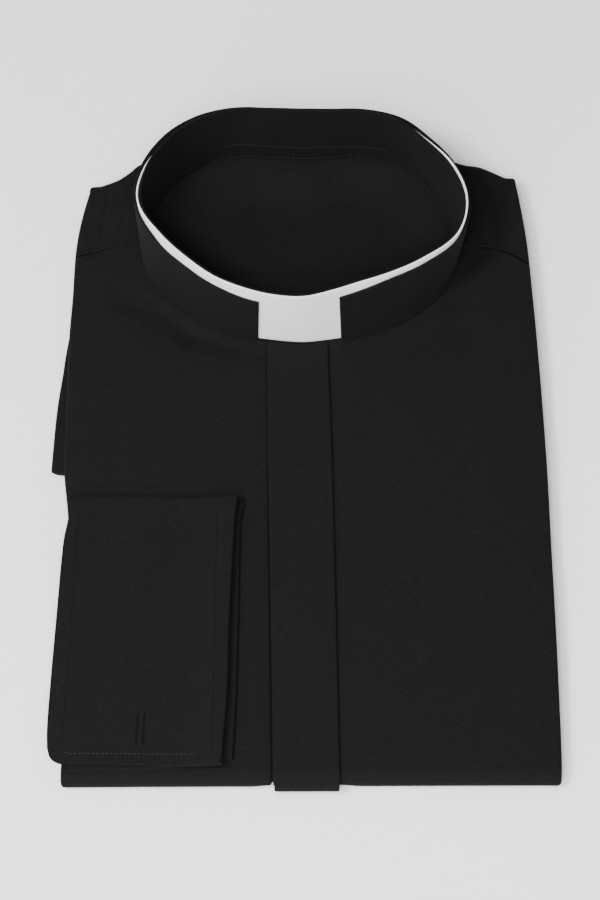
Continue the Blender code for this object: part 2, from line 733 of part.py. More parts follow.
def make_sleeves():
    look = (BLACK_BAND, CLOTH_ROUGHNESS)
    cloth(
        "sleeve_right",
        spaced(0.0, 0.96, 12) + [1.0],
        SLEEVE.keys,
        lambda share, along, depth: sleeve_point(-1, share, along, depth),
        SLEEVE_WALL,
        look,
    )
    cloth(
        "sleeve_left",
        [0.0, 0.5, 0.96, 1.0],
        spaced(SLEEVE.keys[0], SLEEVE.keys[-1], 10),
        lambda share, along, depth: sleeve_point(1, share, along, depth),
        SLEEVE_WALL,
        look,
    )


def make_cuff():
    from_end = spaced(3.0, 2.0, 8, power=1.6)
    wrists = spaced(0.0, 1.0, 5) + spaced(1.0, 2.0, 4)[1:] + from_end[-2::-1]
    folds = spaced(0.0, 1.0, 10, power=2) + spaced(1.0, 2.0, 4)[1:] + spaced(2.0, 3.0, 4)[1:]
    cloth("cuff_right", wrists, folds, cuff_point, CUFF_WALL, (BLACK_CUFF, CLOTH_ROUGHNESS))


def make_hidden_layers():
    """One solid: its top, a side that steps down over each layer's folded edge, and its underside."""
    mesh, bend = flat_grid(LAYERS_COLUMNS, LAYERS_ROWS)
    bend(mesh.verts, layers_point, 0.0)
    top = mesh.faces[:]
    for level in spaced(0.0, 1.0, 4 * len(LAYER_EDGES))[1:]:
        open_edge = [edge for edge in mesh.edges if edge.is_boundary]
        grown = bmesh.ops.extrude_edge_only(mesh, edges=open_edge)
        bend(grown["geom"], layers_point, level)
    underside = bmesh.ops.duplicate(mesh, geom=top)
    bend(underside["geom"], layers_point, 1.0)
    bmesh.ops.remove_doubles(mesh, verts=mesh.verts, dist=MERGE_DISTANCE)
    piece_from("folded_layers", mesh, (BLACK_BAND, CLOTH_ROUGHNESS))


def main():
    for item in list(bpy.data.objects):
        bpy.data.objects.remove(item)
    make_fronts()
    make_placket()
    make_yoke()
    make_back()
    make_collar()
    make_sleeves()
    make_cuff()
    make_hidden_layers()


main()
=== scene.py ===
"""Folded clergy shirt, dressed for a render: each piece of cloth is a thin shell on the form of
its solid, with its seams, stitching, buttonhole and creases, on a pale floor under soft light.

Metres, +Z up, with the collar toward +Y and the wearer's left side toward +X. "Along" is the
distance from the bottom fold toward the collar, and "across" the distance from the centre line.
"""

import bisect
import functools
import math

import bmesh
import bpy
from bpy.props import FloatProperty, FloatVectorProperty, PointerProperty
from mathutils import Matrix, Vector


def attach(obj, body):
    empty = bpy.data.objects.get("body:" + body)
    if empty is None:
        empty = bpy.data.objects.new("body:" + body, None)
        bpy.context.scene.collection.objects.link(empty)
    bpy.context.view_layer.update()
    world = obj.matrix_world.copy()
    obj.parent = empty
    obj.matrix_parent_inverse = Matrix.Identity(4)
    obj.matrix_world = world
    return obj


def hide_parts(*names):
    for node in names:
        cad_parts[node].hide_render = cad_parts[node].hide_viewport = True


bl_info = {
    "name": "Folded Clergy Shirt",
    "version": (1, 0, 0),
    "blender": (4, 5, 0),
    "location": "View3D > Sidebar > Clergy Shirt",
    "description": "Makes a folded clergy shirt with its collar, cuff, seams and stitching",
    "category": "Add Mesh",
}

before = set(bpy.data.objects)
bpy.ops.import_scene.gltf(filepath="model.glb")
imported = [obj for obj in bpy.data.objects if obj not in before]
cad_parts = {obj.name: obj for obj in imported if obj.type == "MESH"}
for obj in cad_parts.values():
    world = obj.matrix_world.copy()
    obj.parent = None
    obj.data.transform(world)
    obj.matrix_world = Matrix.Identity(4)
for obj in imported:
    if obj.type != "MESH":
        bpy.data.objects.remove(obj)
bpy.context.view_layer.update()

# The solids' sizes, which the shells follow.
WALL = 0.0012
SEAM_GAP = 0.0003
NECK_HALF = 0.0785
FLAT_CLOTH = 0.1135
SIDE_FOLD = 0.0018
SIDE_RETURN = 0.008
BOTTOM_REACH = 0.0058
BOTTOM_SKEW = -0.0098
BOTTOM_SHIFT = -0.0005
HEM_ALONG = 0.322
CROWN_POWER = 5
LOWER_LEVEL = 0.0050
MIDDLE_X = -0.0031
MIDDLE_ALONG = 0.1737

# The placket, and how the wearer's right front tucks under the left.
PLACKET_LEFT = -0.0176
PLACKET_RIGHT = 0.0133
PLACKET_WALL = 0.0018
PLACKET_SETTLE = 0.010
PLACKET_DROP = 0.0009
PLACKET_DROP_FADE = 0.03
TUCK_START = -0.0187
TUCK_END = -0.0177
TUCK_DEPTH = WALL + SEAM_GAP
UNDERLAP = 0.013

# The yoke and the back inside the neck.
YOKE_SEAM_ALONG = 0.2802
INNER_YOKE_HALF = 0.088
INNER_YOKE_EASE = 0.006
SHOULDER_RETURN = 0.006
BACK_END_ALONG = 0.216
NECK_FLOOR_START = 0.200
NECK_FLOOR_END = 0.212
NECK_RISE = 0.0092
NECK_RISE_EDGE = 0.001
NECK_RISE_INSIDE = 0.030
NECK_RISE_OUTSIDE = 0.006
NECK_RISE_START = 75
NECK_RISE_FULL = 120

# The collar: an inner band, the white insert and an outer band.
COLLAR_ALONG = 0.289
BAND_WALL = 0.0013
INSERT_WALL = 0.0008
TAB_LEFT = -21.7
TAB_RIGHT = 17.8

# How far below its foot the inner band reaches, as a share of its height, and the two rows
# of stitches that it shows at the back of the neck.
BAND_DROP = -0.035
NECK_ROWS = (
    # share of the height at the start and at the end, first angle, last angle
    (0.255, 0.195, 217.0, 139.0),
    (-0.002, -0.002, 223.0, 144.0),
)

# The sleeves and the double cuff.
SLEEVE_WALL = 0.0024
SLEEVE_INSET = 0.012
SLEEVE_LEFT_RUN = 0.0105
SLEEVE_EDGE_START = 0.95
SLEEVE_EDGE_THIN = 0.5
SLEEVE_STEP = 0.0002
SLEEVE_TURN = SIDE_FOLD + SEAM_GAP + SLEEVE_WALL / 2
CUFF_WALL = 0.0010
CUFF_PITCH = 0.00125
CUFF_WRIST_ALONG = 0.1411
CUFF_WRIST_RISE = 0.0030
CUFF_UPPER_END = 0.0078
CUFF_UPPER_SKEW = -0.0032
CUFF_LOWER_END = 0.0052
CUFF_LOWER_RISE = 0.0043
CUFF_LOFT = 0.0030
CUFF_LOFT_START = 0.75
CUFF_LOWER_REACH = 0.0115
CUFF_LOWER_REACH_ALONG = 0.0135
CUFF_LOWER_REACH_FADE = 0.0030
CUFF_SEAM_X = -0.100
CUFF_SIDE_X = -0.121
SLEEVE_LANDING = -CUFF_SEAM_X + 2 * SEAM_GAP
SLEEVE_WRAP_END = 0.155
CUFF_CORNER = 0.008
CUFF_DROOP = 0.0022

# The hidden layers.
LAYERS_START = 0.0072
LAYERS_SIDE = 0.0140
LAYERS_FAR_GAP = 0.003
LAYERS_TUCK_EASE = 0.006
SHOULDER_MIDDLE = 0.3495

# Rows of stitches: how far they stay from a seam and from their cloth's edge, how far apart
# the points of their paths are, and how much flatter than wide the thread is.
SEAM_ROW = 0.0016
ROW_INSET = 0.002
PATH_STEP = 0.004
PATH_POINTS = 120
HEM_RUN = 2.982
BACK_ROW_HALF = 0.07
THREAD_FLATNESS = 1.2

# Grids: the size or number of the pieces' cells, the step in degrees along the neckline, and
# how often the search for an angle on it halves its range.
BACK_CELL = 0.003
SLEEVE_CELL = 0.002
NECK_STEP = 1.5
ANGLE_HALVINGS = 40
COLLAR_COLUMNS = 220
TAB_COLUMNS = 28
COLLAR_ROWS = 22
LAYER_ROWS = 6

# Edges: how near two points are to be one, how far a wall's corners are rounded as a share of
# its thickness, how sharp they are before that, and how sharp an edge is to be drawn sharp.
MERGE_DISTANCE = 1e-6
EDGE_ROUNDING = 0.3
ROUND_ANGLE = math.radians(50)
SMOOTH_ANGLE = math.radians(40)

# The name of the map that lays the weave on each piece.
CLOTH_MAP = "cloth"


class Table:
    """Sizes in rows under named columns, read between the rows along a smooth curve."""

    def __init__(self, columns, *rows, turn=None):
        rows = list(rows)
        if turn:
            before = [(row[0] - turn,) + row[1:] for row in rows[-2:]]
            after = [(row[0] + turn,) + row[1:] for row in rows[:2]]
            rows = before + rows + after
        self.turn = turn
        self.keys = [row[0] for row in rows]
        self.values = {name: [row[i] for row in rows] for i, name in enumerate(columns)}

    def slope(self, values, i):
        low = max(i - 1, 0)
        high = min(i + 1, len(values) - 1)
        return (values[high] - values[low]) / (self.keys[high] - self.keys[low])

    def read(self, name, where):
        values = self.values[name]
        if self.turn:
            where %= self.turn
        where = min(max(where, self.keys[0]), self.keys[-1])
        i = min(bisect.bisect_right(self.keys, where) - 1, len(values) - 2)
        step = self.keys[i + 1] - self.keys[i]
        t = (where - self.keys[i]) / step
        start = self.slope(values, i) * step
        end = self.slope(values, i + 1) * step
        return (
            values[i] * (2 * t**3 - 3 * t**2 + 1)
            + start * (t**3 - 2 * t**2 + t)
            + values[i + 1] * (3 * t**2 - 2 * t**3)
            + end * (t**3 - t**2)
        )


# The folded outline and its height: at the middle (crown) and at the side folds (rim).
BODY = Table(
    ("along", "left", "right", "crown", "rim"),
    (0.000, 0.1147, 0.1146, 0.0116, 0.0106),
    (0.012, 0.1144, 0.1150, 0.0122, 0.0109),
    (0.030, 0.1138, 0.1153, 0.0130, 0.0113),
    (0.075, 0.1130, 0.1157, 0.0143, 0.0117),
    (0.124, 0.1128, 0.1158, 0.0150, 0.0118),
    (0.142, 0.1141, 0.1159, 0.0152, 0.0119),
    (0.165, 0.1162, 0.1159, 0.0155, 0.0120),
    (0.205, 0.1157, 0.1153, 0.0162, 0.0122),
    (0.240, 0.1152, 0.1144, 0.0169, 0.0125),
    (0.262, 0.1140, 0.1136, 0.0172, 0.0128),
    (0.286, 0.1131, 0.1126, 0.0172, 0.0131),
    (0.298, 0.1119, 0.1117, 0.0170, 0.0133),
    (0.310, 0.1098, 0.1104, 0.0167, 0.0135),
    (0.322, 0.1070, 0.1089, 0.0163, 0.0137),
    (0.332, 0.1040, 0.1072, 0.0160, 0.0138),
)

# The placket's two edges, which aren't quite straight.
PLACKET = Table(
    ("along", "left", "right"),
    (0.0000, -0.0169, 0.0129),
    (0.0144, -0.0170, 0.0129),
    (0.0650, -0.0175, 0.0128),
    (0.1100, -0.0179, 0.0127),
    (0.1660, -0.0182, 0.0125),
    (0.2110, -0.0182, 0.0118),
    (0.2350, -0.0181, 0.0115),
)

# The shoulder fold: how far along it lies, and how far its turn reaches.
SHOULDER = Table(
    ("x", "along", "reach"),
    (-0.1060, 0.3286, 0.0052),
    (-0.0965, 0.3321, 0.0052),
    (-0.0890, 0.3372, 0.0050),
    (-0.0830, 0.3409, 0.0046),
    (-0.0600, 0.3450, 0.0038),
    (0.0000, 0.3495, 0.0035),
    (0.0600, 0.3455, 0.0038),
    (0.0830, 0.3386, 0.0046),
    (0.0931, 0.3371, 0.0052),
    (0.1066, 0.3310, 0.0052),
)

# The seams from the neck to the side folds, where the fronts meet the yoke.
YOKE_SEAM = Table(
    ("x", "along"),
    (-0.1130, 0.2850),
    (-0.1006, 0.2881),
    (-0.0907, 0.2898),
    (-0.0785, 0.2898),
    (0.0785, 0.2885),
    (0.0933, 0.2860),
    (0.1032, 0.2835),
    (0.1130, 0.2780),
)

# The collar round the neck: angle from the front, radii at foot and top edge, and the heights
# of the top edges of the outer band, the insert and the inner band.
COLLAR = Table(
    ("angle", "foot", "top", "outer", "insert", "inner"),
    (0, 0.0576, 0.0558, 0.0485, 0.0550, 0.0545),
    (15, 0.0579, 0.0542, 0.0495, 0.0550, 0.0545),
    (30, 0.0612, 0.0551, 0.0502, 0.0550, 0.0545),
    (45, 0.0660, 0.0599, 0.0518, 0.0550, 0.0545),
    (60, 0.0713, 0.0678, 0.0517, 0.0550, 0.0545),
    (75, 0.0749, 0.0779, 0.0522, 0.0552, 0.0547),
    (90, 0.0770, 0.0804, 0.0528, 0.0554, 0.0549),
    (105, 0.0754, 0.0769, 0.0542, 0.0557, 0.0552),
    (120, 0.0752, 0.0716, 0.0545, 0.0539, 0.0553),
    (135, 0.0713, 0.0686, 0.0532, 0.0519, 0.0555),
    (150, 0.0634, 0.0625, 0.0528, 0.0537, 0.0557),
    (165, 0.0560, 0.0561, 0.0530, 0.0538, 0.0558),
    (180, 0.0538, 0.0546, 0.0530, 0.0538, 0.0559),
    (195, 0.0565, 0.0574, 0.0530, 0.0538, 0.0559),
    (210, 0.0636, 0.0646, 0.0528, 0.0538, 0.0558),
    (225, 0.0709, 0.0719, 0.0534, 0.0537, 0.0556),
    (240, 0.0757, 0.0770, 0.0543, 0.0526, 0.0554),
    (255, 0.0785, 0.0804, 0.0541, 0.0535, 0.0552),
    (270, 0.0785, 0.0802, 0.0526, 0.0554, 0.0549),
    (285, 0.0764, 0.0718, 0.0499, 0.0551, 0.0546),
    (300, 0.0698, 0.0652, 0.0497, 0.0550, 0.0545),
    (315, 0.0649, 0.0614, 0.0494, 0.0550, 0.0545),
    (330, 0.0610, 0.0582, 0.0484, 0.0550, 0.0545),
    (345, 0.0581, 0.0566, 0.0484, 0.0550, 0.0545),
    turn=360,
)

# Soft dents of the standing collar, outward where positive, deepest half way up.
COLLAR_DENTS = (
    # angle, half width, depth
    (42, 9, -0.0005),
    (70, 6, 0.0006),
    (131, 6, 0.0007),
    (152, 5, -0.0005),
    (171, 8, 0.0005),
    (198, 5, -0.0006),
    (212, 4, 0.0005),
    (237, 5, 0.0012),
    (249, 4, -0.0007),
    (289, 7, 0.0006),
    (318, 9, -0.0005),
)

# The double cuff: the flap's free edge, and the hand folds of its upper and lower halves.
CUFF = Table(
    ("along", "flap", "upper_hand", "lower_hand"),
    (0.0060, -0.1206, -0.0418, -0.0371),
    (0.0180, -0.1209, -0.0409, -0.0364),
    (0.0390, -0.1200, -0.0392, -0.0352),
    (0.0800, -0.1177, -0.0378, -0.0340),
    (0.1200, -0.1153, -0.0357, -0.0330),
    (0.1330, -0.1133, -0.0348, -0.0324),
    (0.1430, -0.1122, -0.0336, -0.0302),
)

# The right sleeve: how far its cloth runs straight out from inside the layers and, level with
# the cuff, which share of the way it then goes round the side fold and up onto the front.
SLEEVE = Table(
    ("along", "out", "round"),
    (0.0140, 0.0102, 1.00),
    (0.0400, 0.0102, 1.00),
    (0.0750, 0.0102, 1.00),
    (0.0950, 0.0102, 1.00),
    (0.1120, 0.0102, 1.00),
    (0.1150, 0.0102, 0.89),
    (0.1177, 0.0102, 0.77),
    (0.1202, 0.0102, 0.65),
    (0.1226, 0.0102, 0.53),
    (0.1248, 0.0102, 0.41),
    (0.1268, 0.0102, 0.29),
    (0.1287, 0.0102, 0.17),
    (0.1310, 0.0102, 0.05),
    (0.1330, 0.0102, 0.00),
    (0.1480, 0.0102, 0.00),
    (0.1636, 0.0092, 0.00),
    (0.1641, 0.0162, 0.00),
    (0.1651, 0.0181, 0.00),
    (0.1672, 0.0182, 0.00),
    (0.1730, 0.0179, 0.00),
    (0.1840, 0.0174, 0.00),
    (0.1960, 0.0169, 0.00),
    (0.2070, 0.0160, 0.00),
    (0.2180, 0.0147, 0.00),
    (0.2300, 0.0135, 0.00),
    (0.2410, 0.0122, 0.00),
    (0.2560, 0.0105, 0.00),
    (0.3000, 0.0100, 0.00),
)

# The folded edges of the hidden layers, from the top one down: how far each stays back, and how
# far its rounded edge bulges.
LAYER_EDGES = (
    # back, bulge
    (0.0000, 0.0006),
    (0.0016, 0.0005),
    (0.0004, 0.0006),
    (0.0024, 0.0005),
    (0.0009, 0.0006),
)

# Creases: soft troughs from one point to another, fading beside the collar; a negative depth is
# a ridge.
CREASE_CLEAR = 0.0025
CREASE_FADE = 0.007
CREASE_REACH = 3
CREASES = (
    # x, along, to x, to along, half width, depth
    (-0.0870, 0.2590, -0.0560, 0.2390, 0.0075, 0.0018),
    (-0.0560, 0.2360, -0.0230, 0.2260, 0.0060, 0.0012),
    (0.0700, 0.2580, 0.0850, 0.2830, 0.0070, 0.0024),
    (-0.0840, 0.3300, -0.1030, 0.2890, 0.0055, 0.0014),
    (0.0400, 0.2230, 0.0800, 0.2380, 0.0110, 0.0008),
)

# Creases of the underside, where the cloth lifts off the surface.
UNDER_CREASES = (
    # x, along, to x, to along, half width, lift
    (-0.0950, 0.0600, -0.0420, 0.0820, 0.0060, 0.0007),
    (-0.0900, 0.2050, -0.0350, 0.1760, 0.0080, 0.0006),
    (-0.0600, 0.1300, -0.0300, 0.1380, 0.0045, 0.0005),
    (0.0280, 0.0400, 0.0850, 0.0700, 0.0070, 0.0006),
    (0.0350, 0.1650, 0.0980, 0.1400, 0.0055, 0.0007),
    (0.0300, 0.2500, 0.0700, 0.2250, 0.0065, 0.0005),
)


def ease(value):
    """0 below 0, 1 above 1, and a smooth step between."""
    value = min(max(value, 0.0), 1.0)
    return value * value * (3 - 2 * value)


def crease_sum(creases, x, along):
    """How deep a table of creases is at a place."""
    total = 0.0
    for x0, along0, x1, along1, half_width, depth in creases:
        run_x = x1 - x0
        run_along = along1 - along0
        share = ((x - x0) * run_x + (along - along0) * run_along) / (run_x**2 + run_along**2)
        share = min(max(share, 0.0), 1.0)
        away = math.hypot(x - x0 - share * run_x, along - along0 - share * run_along)
        if away < CREASE_REACH * half_width:
            total += depth * math.exp(-((away / half_width) ** 2))
    return total


def crease_depth(x, along):
    """How deep the creases press the cloth here, fading out beside the collar's foot."""
    total = crease_sum(CREASES, x, along)
    if not total:
        return 0.0
    angle = math.degrees(math.atan2(x, COLLAR_ALONG - along))
    outside = math.hypot(x, COLLAR_ALONG - along) - COLLAR.read("foot", angle)
    return total * ease((outside - CREASE_CLEAR) / CREASE_FADE)


def body_half(side, along):
    """How far the folded body reaches from the centre line, on the side of that sign."""
    return BODY.read("left" if side < 0 else "right", along)


def cloth_height(x, along):
    """Height of the top skin: a low crown that falls to the side folds, less its creases."""
    width = body_half(x, along)
    crown = BODY.read("crown", along)
    rim = BODY.read("rim", along)
    share = min(abs(x) / width, 1.0)
    return rim + (crown - rim) * (1 - share**CROWN_POWER) - crease_depth(x, along)


def under_lift(x):
    """How far the placket below lifts the skin that lies on it."""
    outside = max(PLACKET_LEFT - x, x - PLACKET_RIGHT, 0.0)
    return (PLACKET_WALL + SEAM_GAP) * (1 - ease(outside / PLACKET_SETTLE))


def tuck(x):
    """How far the wearer's right front drops to pass under the left one."""
    return TUCK_DEPTH * ease((x - TUCK_START) / (TUCK_END - TUCK_START))


def side_fold(cloth, side, along, depth):
    """(x, depth) at a distance of cloth from the centre line: flat, then round the side fold."""
    if cloth <= NECK_HALF:
        return side * cloth, depth
    straight = body_half(side, along) - SIDE_FOLD
    if cloth <= FLAT_CLOTH:
        share = (cloth - NECK_HALF) / (FLAT_CLOTH - NECK_HALF)
        return side * (NECK_HALF + share * (straight - NECK_HALF)), depth
    turn = min((cloth - FLAT_CLOTH) / SIDE_FOLD, math.pi)
    back = max(cloth - FLAT_CLOTH - math.pi * SIDE_FOLD, 0.0)
    x = straight + (SIDE_FOLD - depth) * math.sin(turn) - back
    return side * x, SIDE_FOLD - (SIDE_FOLD - depth) * math.cos(turn)


def rim_x(x, side, along):
    """x for reading the skin's height, held at the start of the side fold."""
    straight = body_half(side, along) - SIDE_FOLD
    return side * min(side * x, straight)


@functools.lru_cache(maxsize=None)
def collar_angle(x, front):
    """Angle at which the collar's foot passes x, on its front or its back half."""
    side = 1 if x >= 0 else -1
    low, high = (0.0, 90.0) if front else (180.0, 90.0)
    for _ in range(ANGLE_HALVINGS):
        middle = (low + high) / 2
        reach = COLLAR.read("foot", side * middle) * math.sin(math.radians(middle))
        if reach < abs(x):
            low = middle
        else:
            high = middle
    return side * low


@functools.lru_cache(maxsize=None)
def neck_edge(x, front):
    """How far along the neckline lies at x."""
    if abs(x) >= NECK_HALF:
        return YOKE_SEAM.read("along", x)
    angle = collar_angle(x, front)
    return COLLAR_ALONG - COLLAR.read("foot", angle) * math.cos(math.radians(angle))


def body_run(x, skin_x, run, top_end, depth):
    """(along, height) down the front (0 to 1), round the bottom fold (to 2) and under (to 3)."""
    bottom = BOTTOM_REACH + BOTTOM_SHIFT + BOTTOM_SKEW * x
    if run <= 1:
        along = top_end + (bottom - top_end) * run
        return along, cloth_height(skin_x, along) - depth
    low = under_lift(x)
    if run <= 2:
        turn = math.pi * (run - 1)
        top = cloth_height(skin_x, bottom)
        along = bottom - (BOTTOM_REACH - depth) * math.sin(turn)
        return along, (top + low) / 2 + ((top - low) / 2 - depth) * math.cos(turn)
    along = bottom + (HEM_ALONG - bottom) * (run - 2)
    return along, low + depth + crease_sum(UNDER_CREASES, x, along)


def front_point(side, cloth, run, depth):
    """A point of one front: side 1 is the wearer's left, side -1 the wearer's right."""
    x, _ = side_fold(cloth, side, BOTTOM_REACH, depth)
    seam = neck_edge(x, True) - SEAM_GAP / 2
    along, _ = body_run(x, 0.0, run, seam, depth)
    x, depth = side_fold(cloth, side, along, depth)
    if side < 0:
        depth += tuck(x)
    along, height = body_run(x, rim_x(x, side, along), run, seam, depth)
    return x, along, height


def placket_point(x, run, depth):
    """A point of the placket, which lies on the fronts from the collar to the hem below."""
    collar_front = neck_edge(x, True) - BAND_WALL - INSERT_WALL / 2 - 2 * SEAM_GAP
    raised = depth - PLACKET_WALL - SEAM_GAP
    along, height = body_run(x, x, run, collar_front, raised)
    along -= PLACKET_DROP * (1 - ease(along / PLACKET_DROP_FADE))
    share = (x - PLACKET_LEFT) / (PLACKET_RIGHT - PLACKET_LEFT)
    left = PLACKET.read("left", along)
    return left + (PLACKET.read("right", along) - left) * share, along, height


def neck_rise(x, along):
    """How far the inside of the yoke rises to the collar's foot, round the back of the neck."""
    angle = math.degrees(math.atan2(x, COLLAR_ALONG - along))
    reach = math.hypot(x, COLLAR_ALONG - along)
    inside = COLLAR.read("foot", angle) - NECK_RISE_EDGE - reach
    near = 1 - ease(abs(inside) / (NECK_RISE_INSIDE if inside > 0 else NECK_RISE_OUTSIDE))
    turned = ease((abs(angle) - NECK_RISE_START) / (NECK_RISE_FULL - NECK_RISE_START))
    return NECK_RISE * near * turned


def yoke_point(cloth, run, depth):
    """A point of the yoke: the shoulders (0 to 1), the shoulder fold (to 2) and inside (to 3)."""
    side = 1 if cloth >= 0 else -1
    x, _ = side_fold(abs(cloth), side, COLLAR_ALONG, depth)
    top_end = neck_edge(x, False) + SEAM_GAP / 2
    reach = SHOULDER.read("reach", x)
    fold = SHOULDER.read("along", x) - reach
    inner = ease((abs(cloth) - INNER_YOKE_HALF) / INNER_YOKE_EASE)
    low_end = YOKE_SEAM_ALONG + inner * (fold - SHOULDER_RETURN - YOKE_SEAM_ALONG)
    along = top_end + (fold - top_end) * min(run, 1.0)
    x, depth = side_fold(abs(cloth), side, along, depth)
    top = cloth_height(rim_x(x, side, along), along)
    if run <= 1:
        return x, along, top - depth
    if run <= 2:
        turn = math.pi * (run - 1)
        low = LOWER_LEVEL + neck_rise(x, fold)
        height = (top + low) / 2 + ((top - low) / 2 - depth) * math.cos(turn)
        return x, fold + (reach - depth) * math.sin(turn), height
    along = fold + (low_end - fold) * (run - 2)
    return x, along, LOWER_LEVEL + neck_rise(x, along) + depth


def back_point(x, along, depth):
    """A point of the back, seen through the neck below the yoke."""
    return x, along, LOWER_LEVEL + WALL - depth


def collar_dent(angle):
    """How far the collar's soft dents push it outward at an angle."""
    total = 0.0
    for middle, half_width, depth in COLLAR_DENTS:
        away = (angle - middle + 180) % 360 - 180
        total += depth * math.exp(-((away / half_width) ** 2))
    return total


def collar_point(angle, offset, share, edge):
    """A point of the standing collar, at an offset outward from the middle of its thickness."""
    foot = COLLAR.read("foot", angle)
    turn = math.radians(angle)
    base_x = (foot + offset) * math.sin(turn)
    base_along = COLLAR_ALONG - (foot + offset) * math.cos(turn)
    base = cloth_height(base_x, base_along) + SEAM_GAP
    full = COLLAR.read("inner", angle)
    height = base + (edge - base) * share
    risen = (height - base) / (full - base)
    radius = foot + (COLLAR.read("top", angle) - foot) * risen + offset
    radius += collar_dent(angle) * math.sin(math.pi * min(max(risen, 0.0), 1.0))
    return radius * math.sin(turn), COLLAR_ALONG - radius * math.cos(turn), height


# How far outward the outer face of each part of the collar lies from the middle: the inner band
# stands round the whole neck, the white insert reaches just above it but at the back, and the
# outer band is lower, so that the insert shows above it.
COLLAR_FACES = {
    "inner": -INSERT_WALL / 2 - SEAM_GAP,
    "insert": INSERT_WALL / 2,
    "outer": INSERT_WALL / 2 + SEAM_GAP + BAND_WALL,
}


def band_point(band, angle, share, depth):
    """A point of one part of the collar, named as in COLLAR_FACES."""
    return collar_point(angle, COLLAR_FACES[band] - depth, share, COLLAR.read(band, angle))


def cuff_floor(x, along):
    """Height of the middle of the cuff's four layers, which drop where they pass the side."""
    held = max(x, CUFF_SEAM_X)
    past = max(CUFF_SEAM_X - x, 0.0) / (CUFF_SEAM_X - CUFF_SIDE_X)
    below = SEAM_GAP + CUFF_WALL / 2 + 1.5 * CUFF_PITCH
    return cloth_height(held, along) + below - CUFF_DROOP * past**2


def cuff_point(wrist, fold, depth):
    """A point of the cuff. Wrist runs up the lower half (0 to 1), round the wrist fold (to 2)
    and down the upper half (to 3); fold runs from the free edge (0 to 1), round the hand fold
    (to 2) and back inside to the sleeve seam (to 3)."""
    turn = math.pi * min(max(2 - wrist, 0.0), 1.0)
    upper = (1 + math.cos(turn)) / 2
    hairpin = math.pi * min(max(fold - 1, 0.0), 1.0)
    bend = CUFF_PITCH / 2 + CUFF_WALL / 2 - depth
    away = CUFF_PITCH + bend * math.cos(hairpin)
    share = fold if fold <= 1 else 1 - max(fold - 2, 0.0)
    near_end = CUFF_UPPER_END + CUFF_UPPER_SKEW * share
    if wrist < 2:
        near_end = CUFF_LOWER_END + CUFF_LOWER_RISE * ease(2 * share - 1)
    far_end = CUFF_WRIST_ALONG + CUFF_WRIST_RISE * (1 - share)
    down = max(wrist - 2, 1 - wrist, 0.0)
    along = far_end + (near_end - far_end) * down
    hand = CUFF.read("lower_hand", along) * (1 - upper) + CUFF.read("upper_hand", along) * upper
    within = ease((CUFF_LOWER_REACH_ALONG - along) / CUFF_LOWER_REACH_FADE)
    free = CUFF_SEAM_X - CUFF_LOWER_REACH * within * (1 - upper)
    if fold <= 1:
        free += (CUFF.read("flap", along) - CUFF_SEAM_X) * upper
    x = free + (hand - free) * share + bend * math.sin(hairpin)
    from_edge = (hand - free) * share
    if fold <= 1 and wrist > 2 and from_edge < CUFF_CORNER:
        cut = CUFF_CORNER - math.sqrt(CUFF_CORNER**2 - (CUFF_CORNER - from_edge) ** 2)
        along = far_end + (near_end + cut - far_end) * down
    loft = CUFF_LOFT * upper * ease((share - CUFF_LOFT_START) / (1 - CUFF_LOFT_START))
    height = cuff_floor(x, along) + away * math.cos(turn) + loft
    return x, along + away * math.sin(turn), height


def sleeve_middle(side, run, along):
    """(x, height) on the middle of the sleeve's cloth, at a run out from inside the layers."""
    width = body_half(side, along)
    centre = width - SIDE_FOLD
    top = cloth_height(side * centre, along)
    straight = SLEEVE_INSET - SIDE_FOLD
    if run <= straight or side > 0 or along > SLEEVE_WRAP_END:
        return side * (width - SLEEVE_INSET + run), top - SIDE_FOLD - SLEEVE_TURN
    turn = (run - straight) / SLEEVE_TURN
    if turn <= math.pi:
        height = top - SIDE_FOLD - SLEEVE_TURN * math.cos(turn)
        return side * (centre + SLEEVE_TURN * math.sin(turn)), height
    share = (run - straight - math.pi * SLEEVE_TURN) / (centre - SLEEVE_LANDING)
    low = top - SIDE_FOLD + SLEEVE_TURN
    rise = cuff_floor(CUFF_SEAM_X, along) - low
    return side * (centre + (SLEEVE_LANDING - centre) * share), low + rise * ease(share)


def sleeve_run_out(along):
    """The whole run of the right sleeve's cloth."""
    centre = BODY.read("left", along) - SIDE_FOLD
    onto_front = math.pi * SLEEVE_TURN + centre - SLEEVE_LANDING
    return SLEEVE.read("out", along) + SLEEVE.read("round", along) * onto_front


def sleeve_point(side, share, along, depth):
    """A point of a sleeve, whose two layers lie together as one thickness."""
    run = SLEEVE_LEFT_RUN if side > 0 else sleeve_run_out(along)
    x0, height0 = sleeve_middle(side, run * share - SLEEVE_STEP, along)
    x1, height1 = sleeve_middle(side, run * share + SLEEVE_STEP, along)
    length = math.hypot(x1 - x0, height1 - height0)
    thin = 1 - SLEEVE_EDGE_THIN * ease((share - SLEEVE_EDGE_START) / (1 - SLEEVE_EDGE_START))
    away = side * (SLEEVE_WALL / 2 - depth) * thin / length
    x, height = sleeve_middle(side, run * share, along)
    return x + away * (height1 - height0), along, height - away * (x1 - x0)


def layers_inset(level):
    """How far the layers' side stays back at a level from their top (0) to their underside (1)."""
    place = level * len(LAYER_EDGES)
    back, bulge = LAYER_EDGES[min(int(place), len(LAYER_EDGES) - 1)]
    across = 2 * (place % 1) - 1 if level < 1 else 1
    return back + bulge * (1 - math.sqrt(1 - across * across))


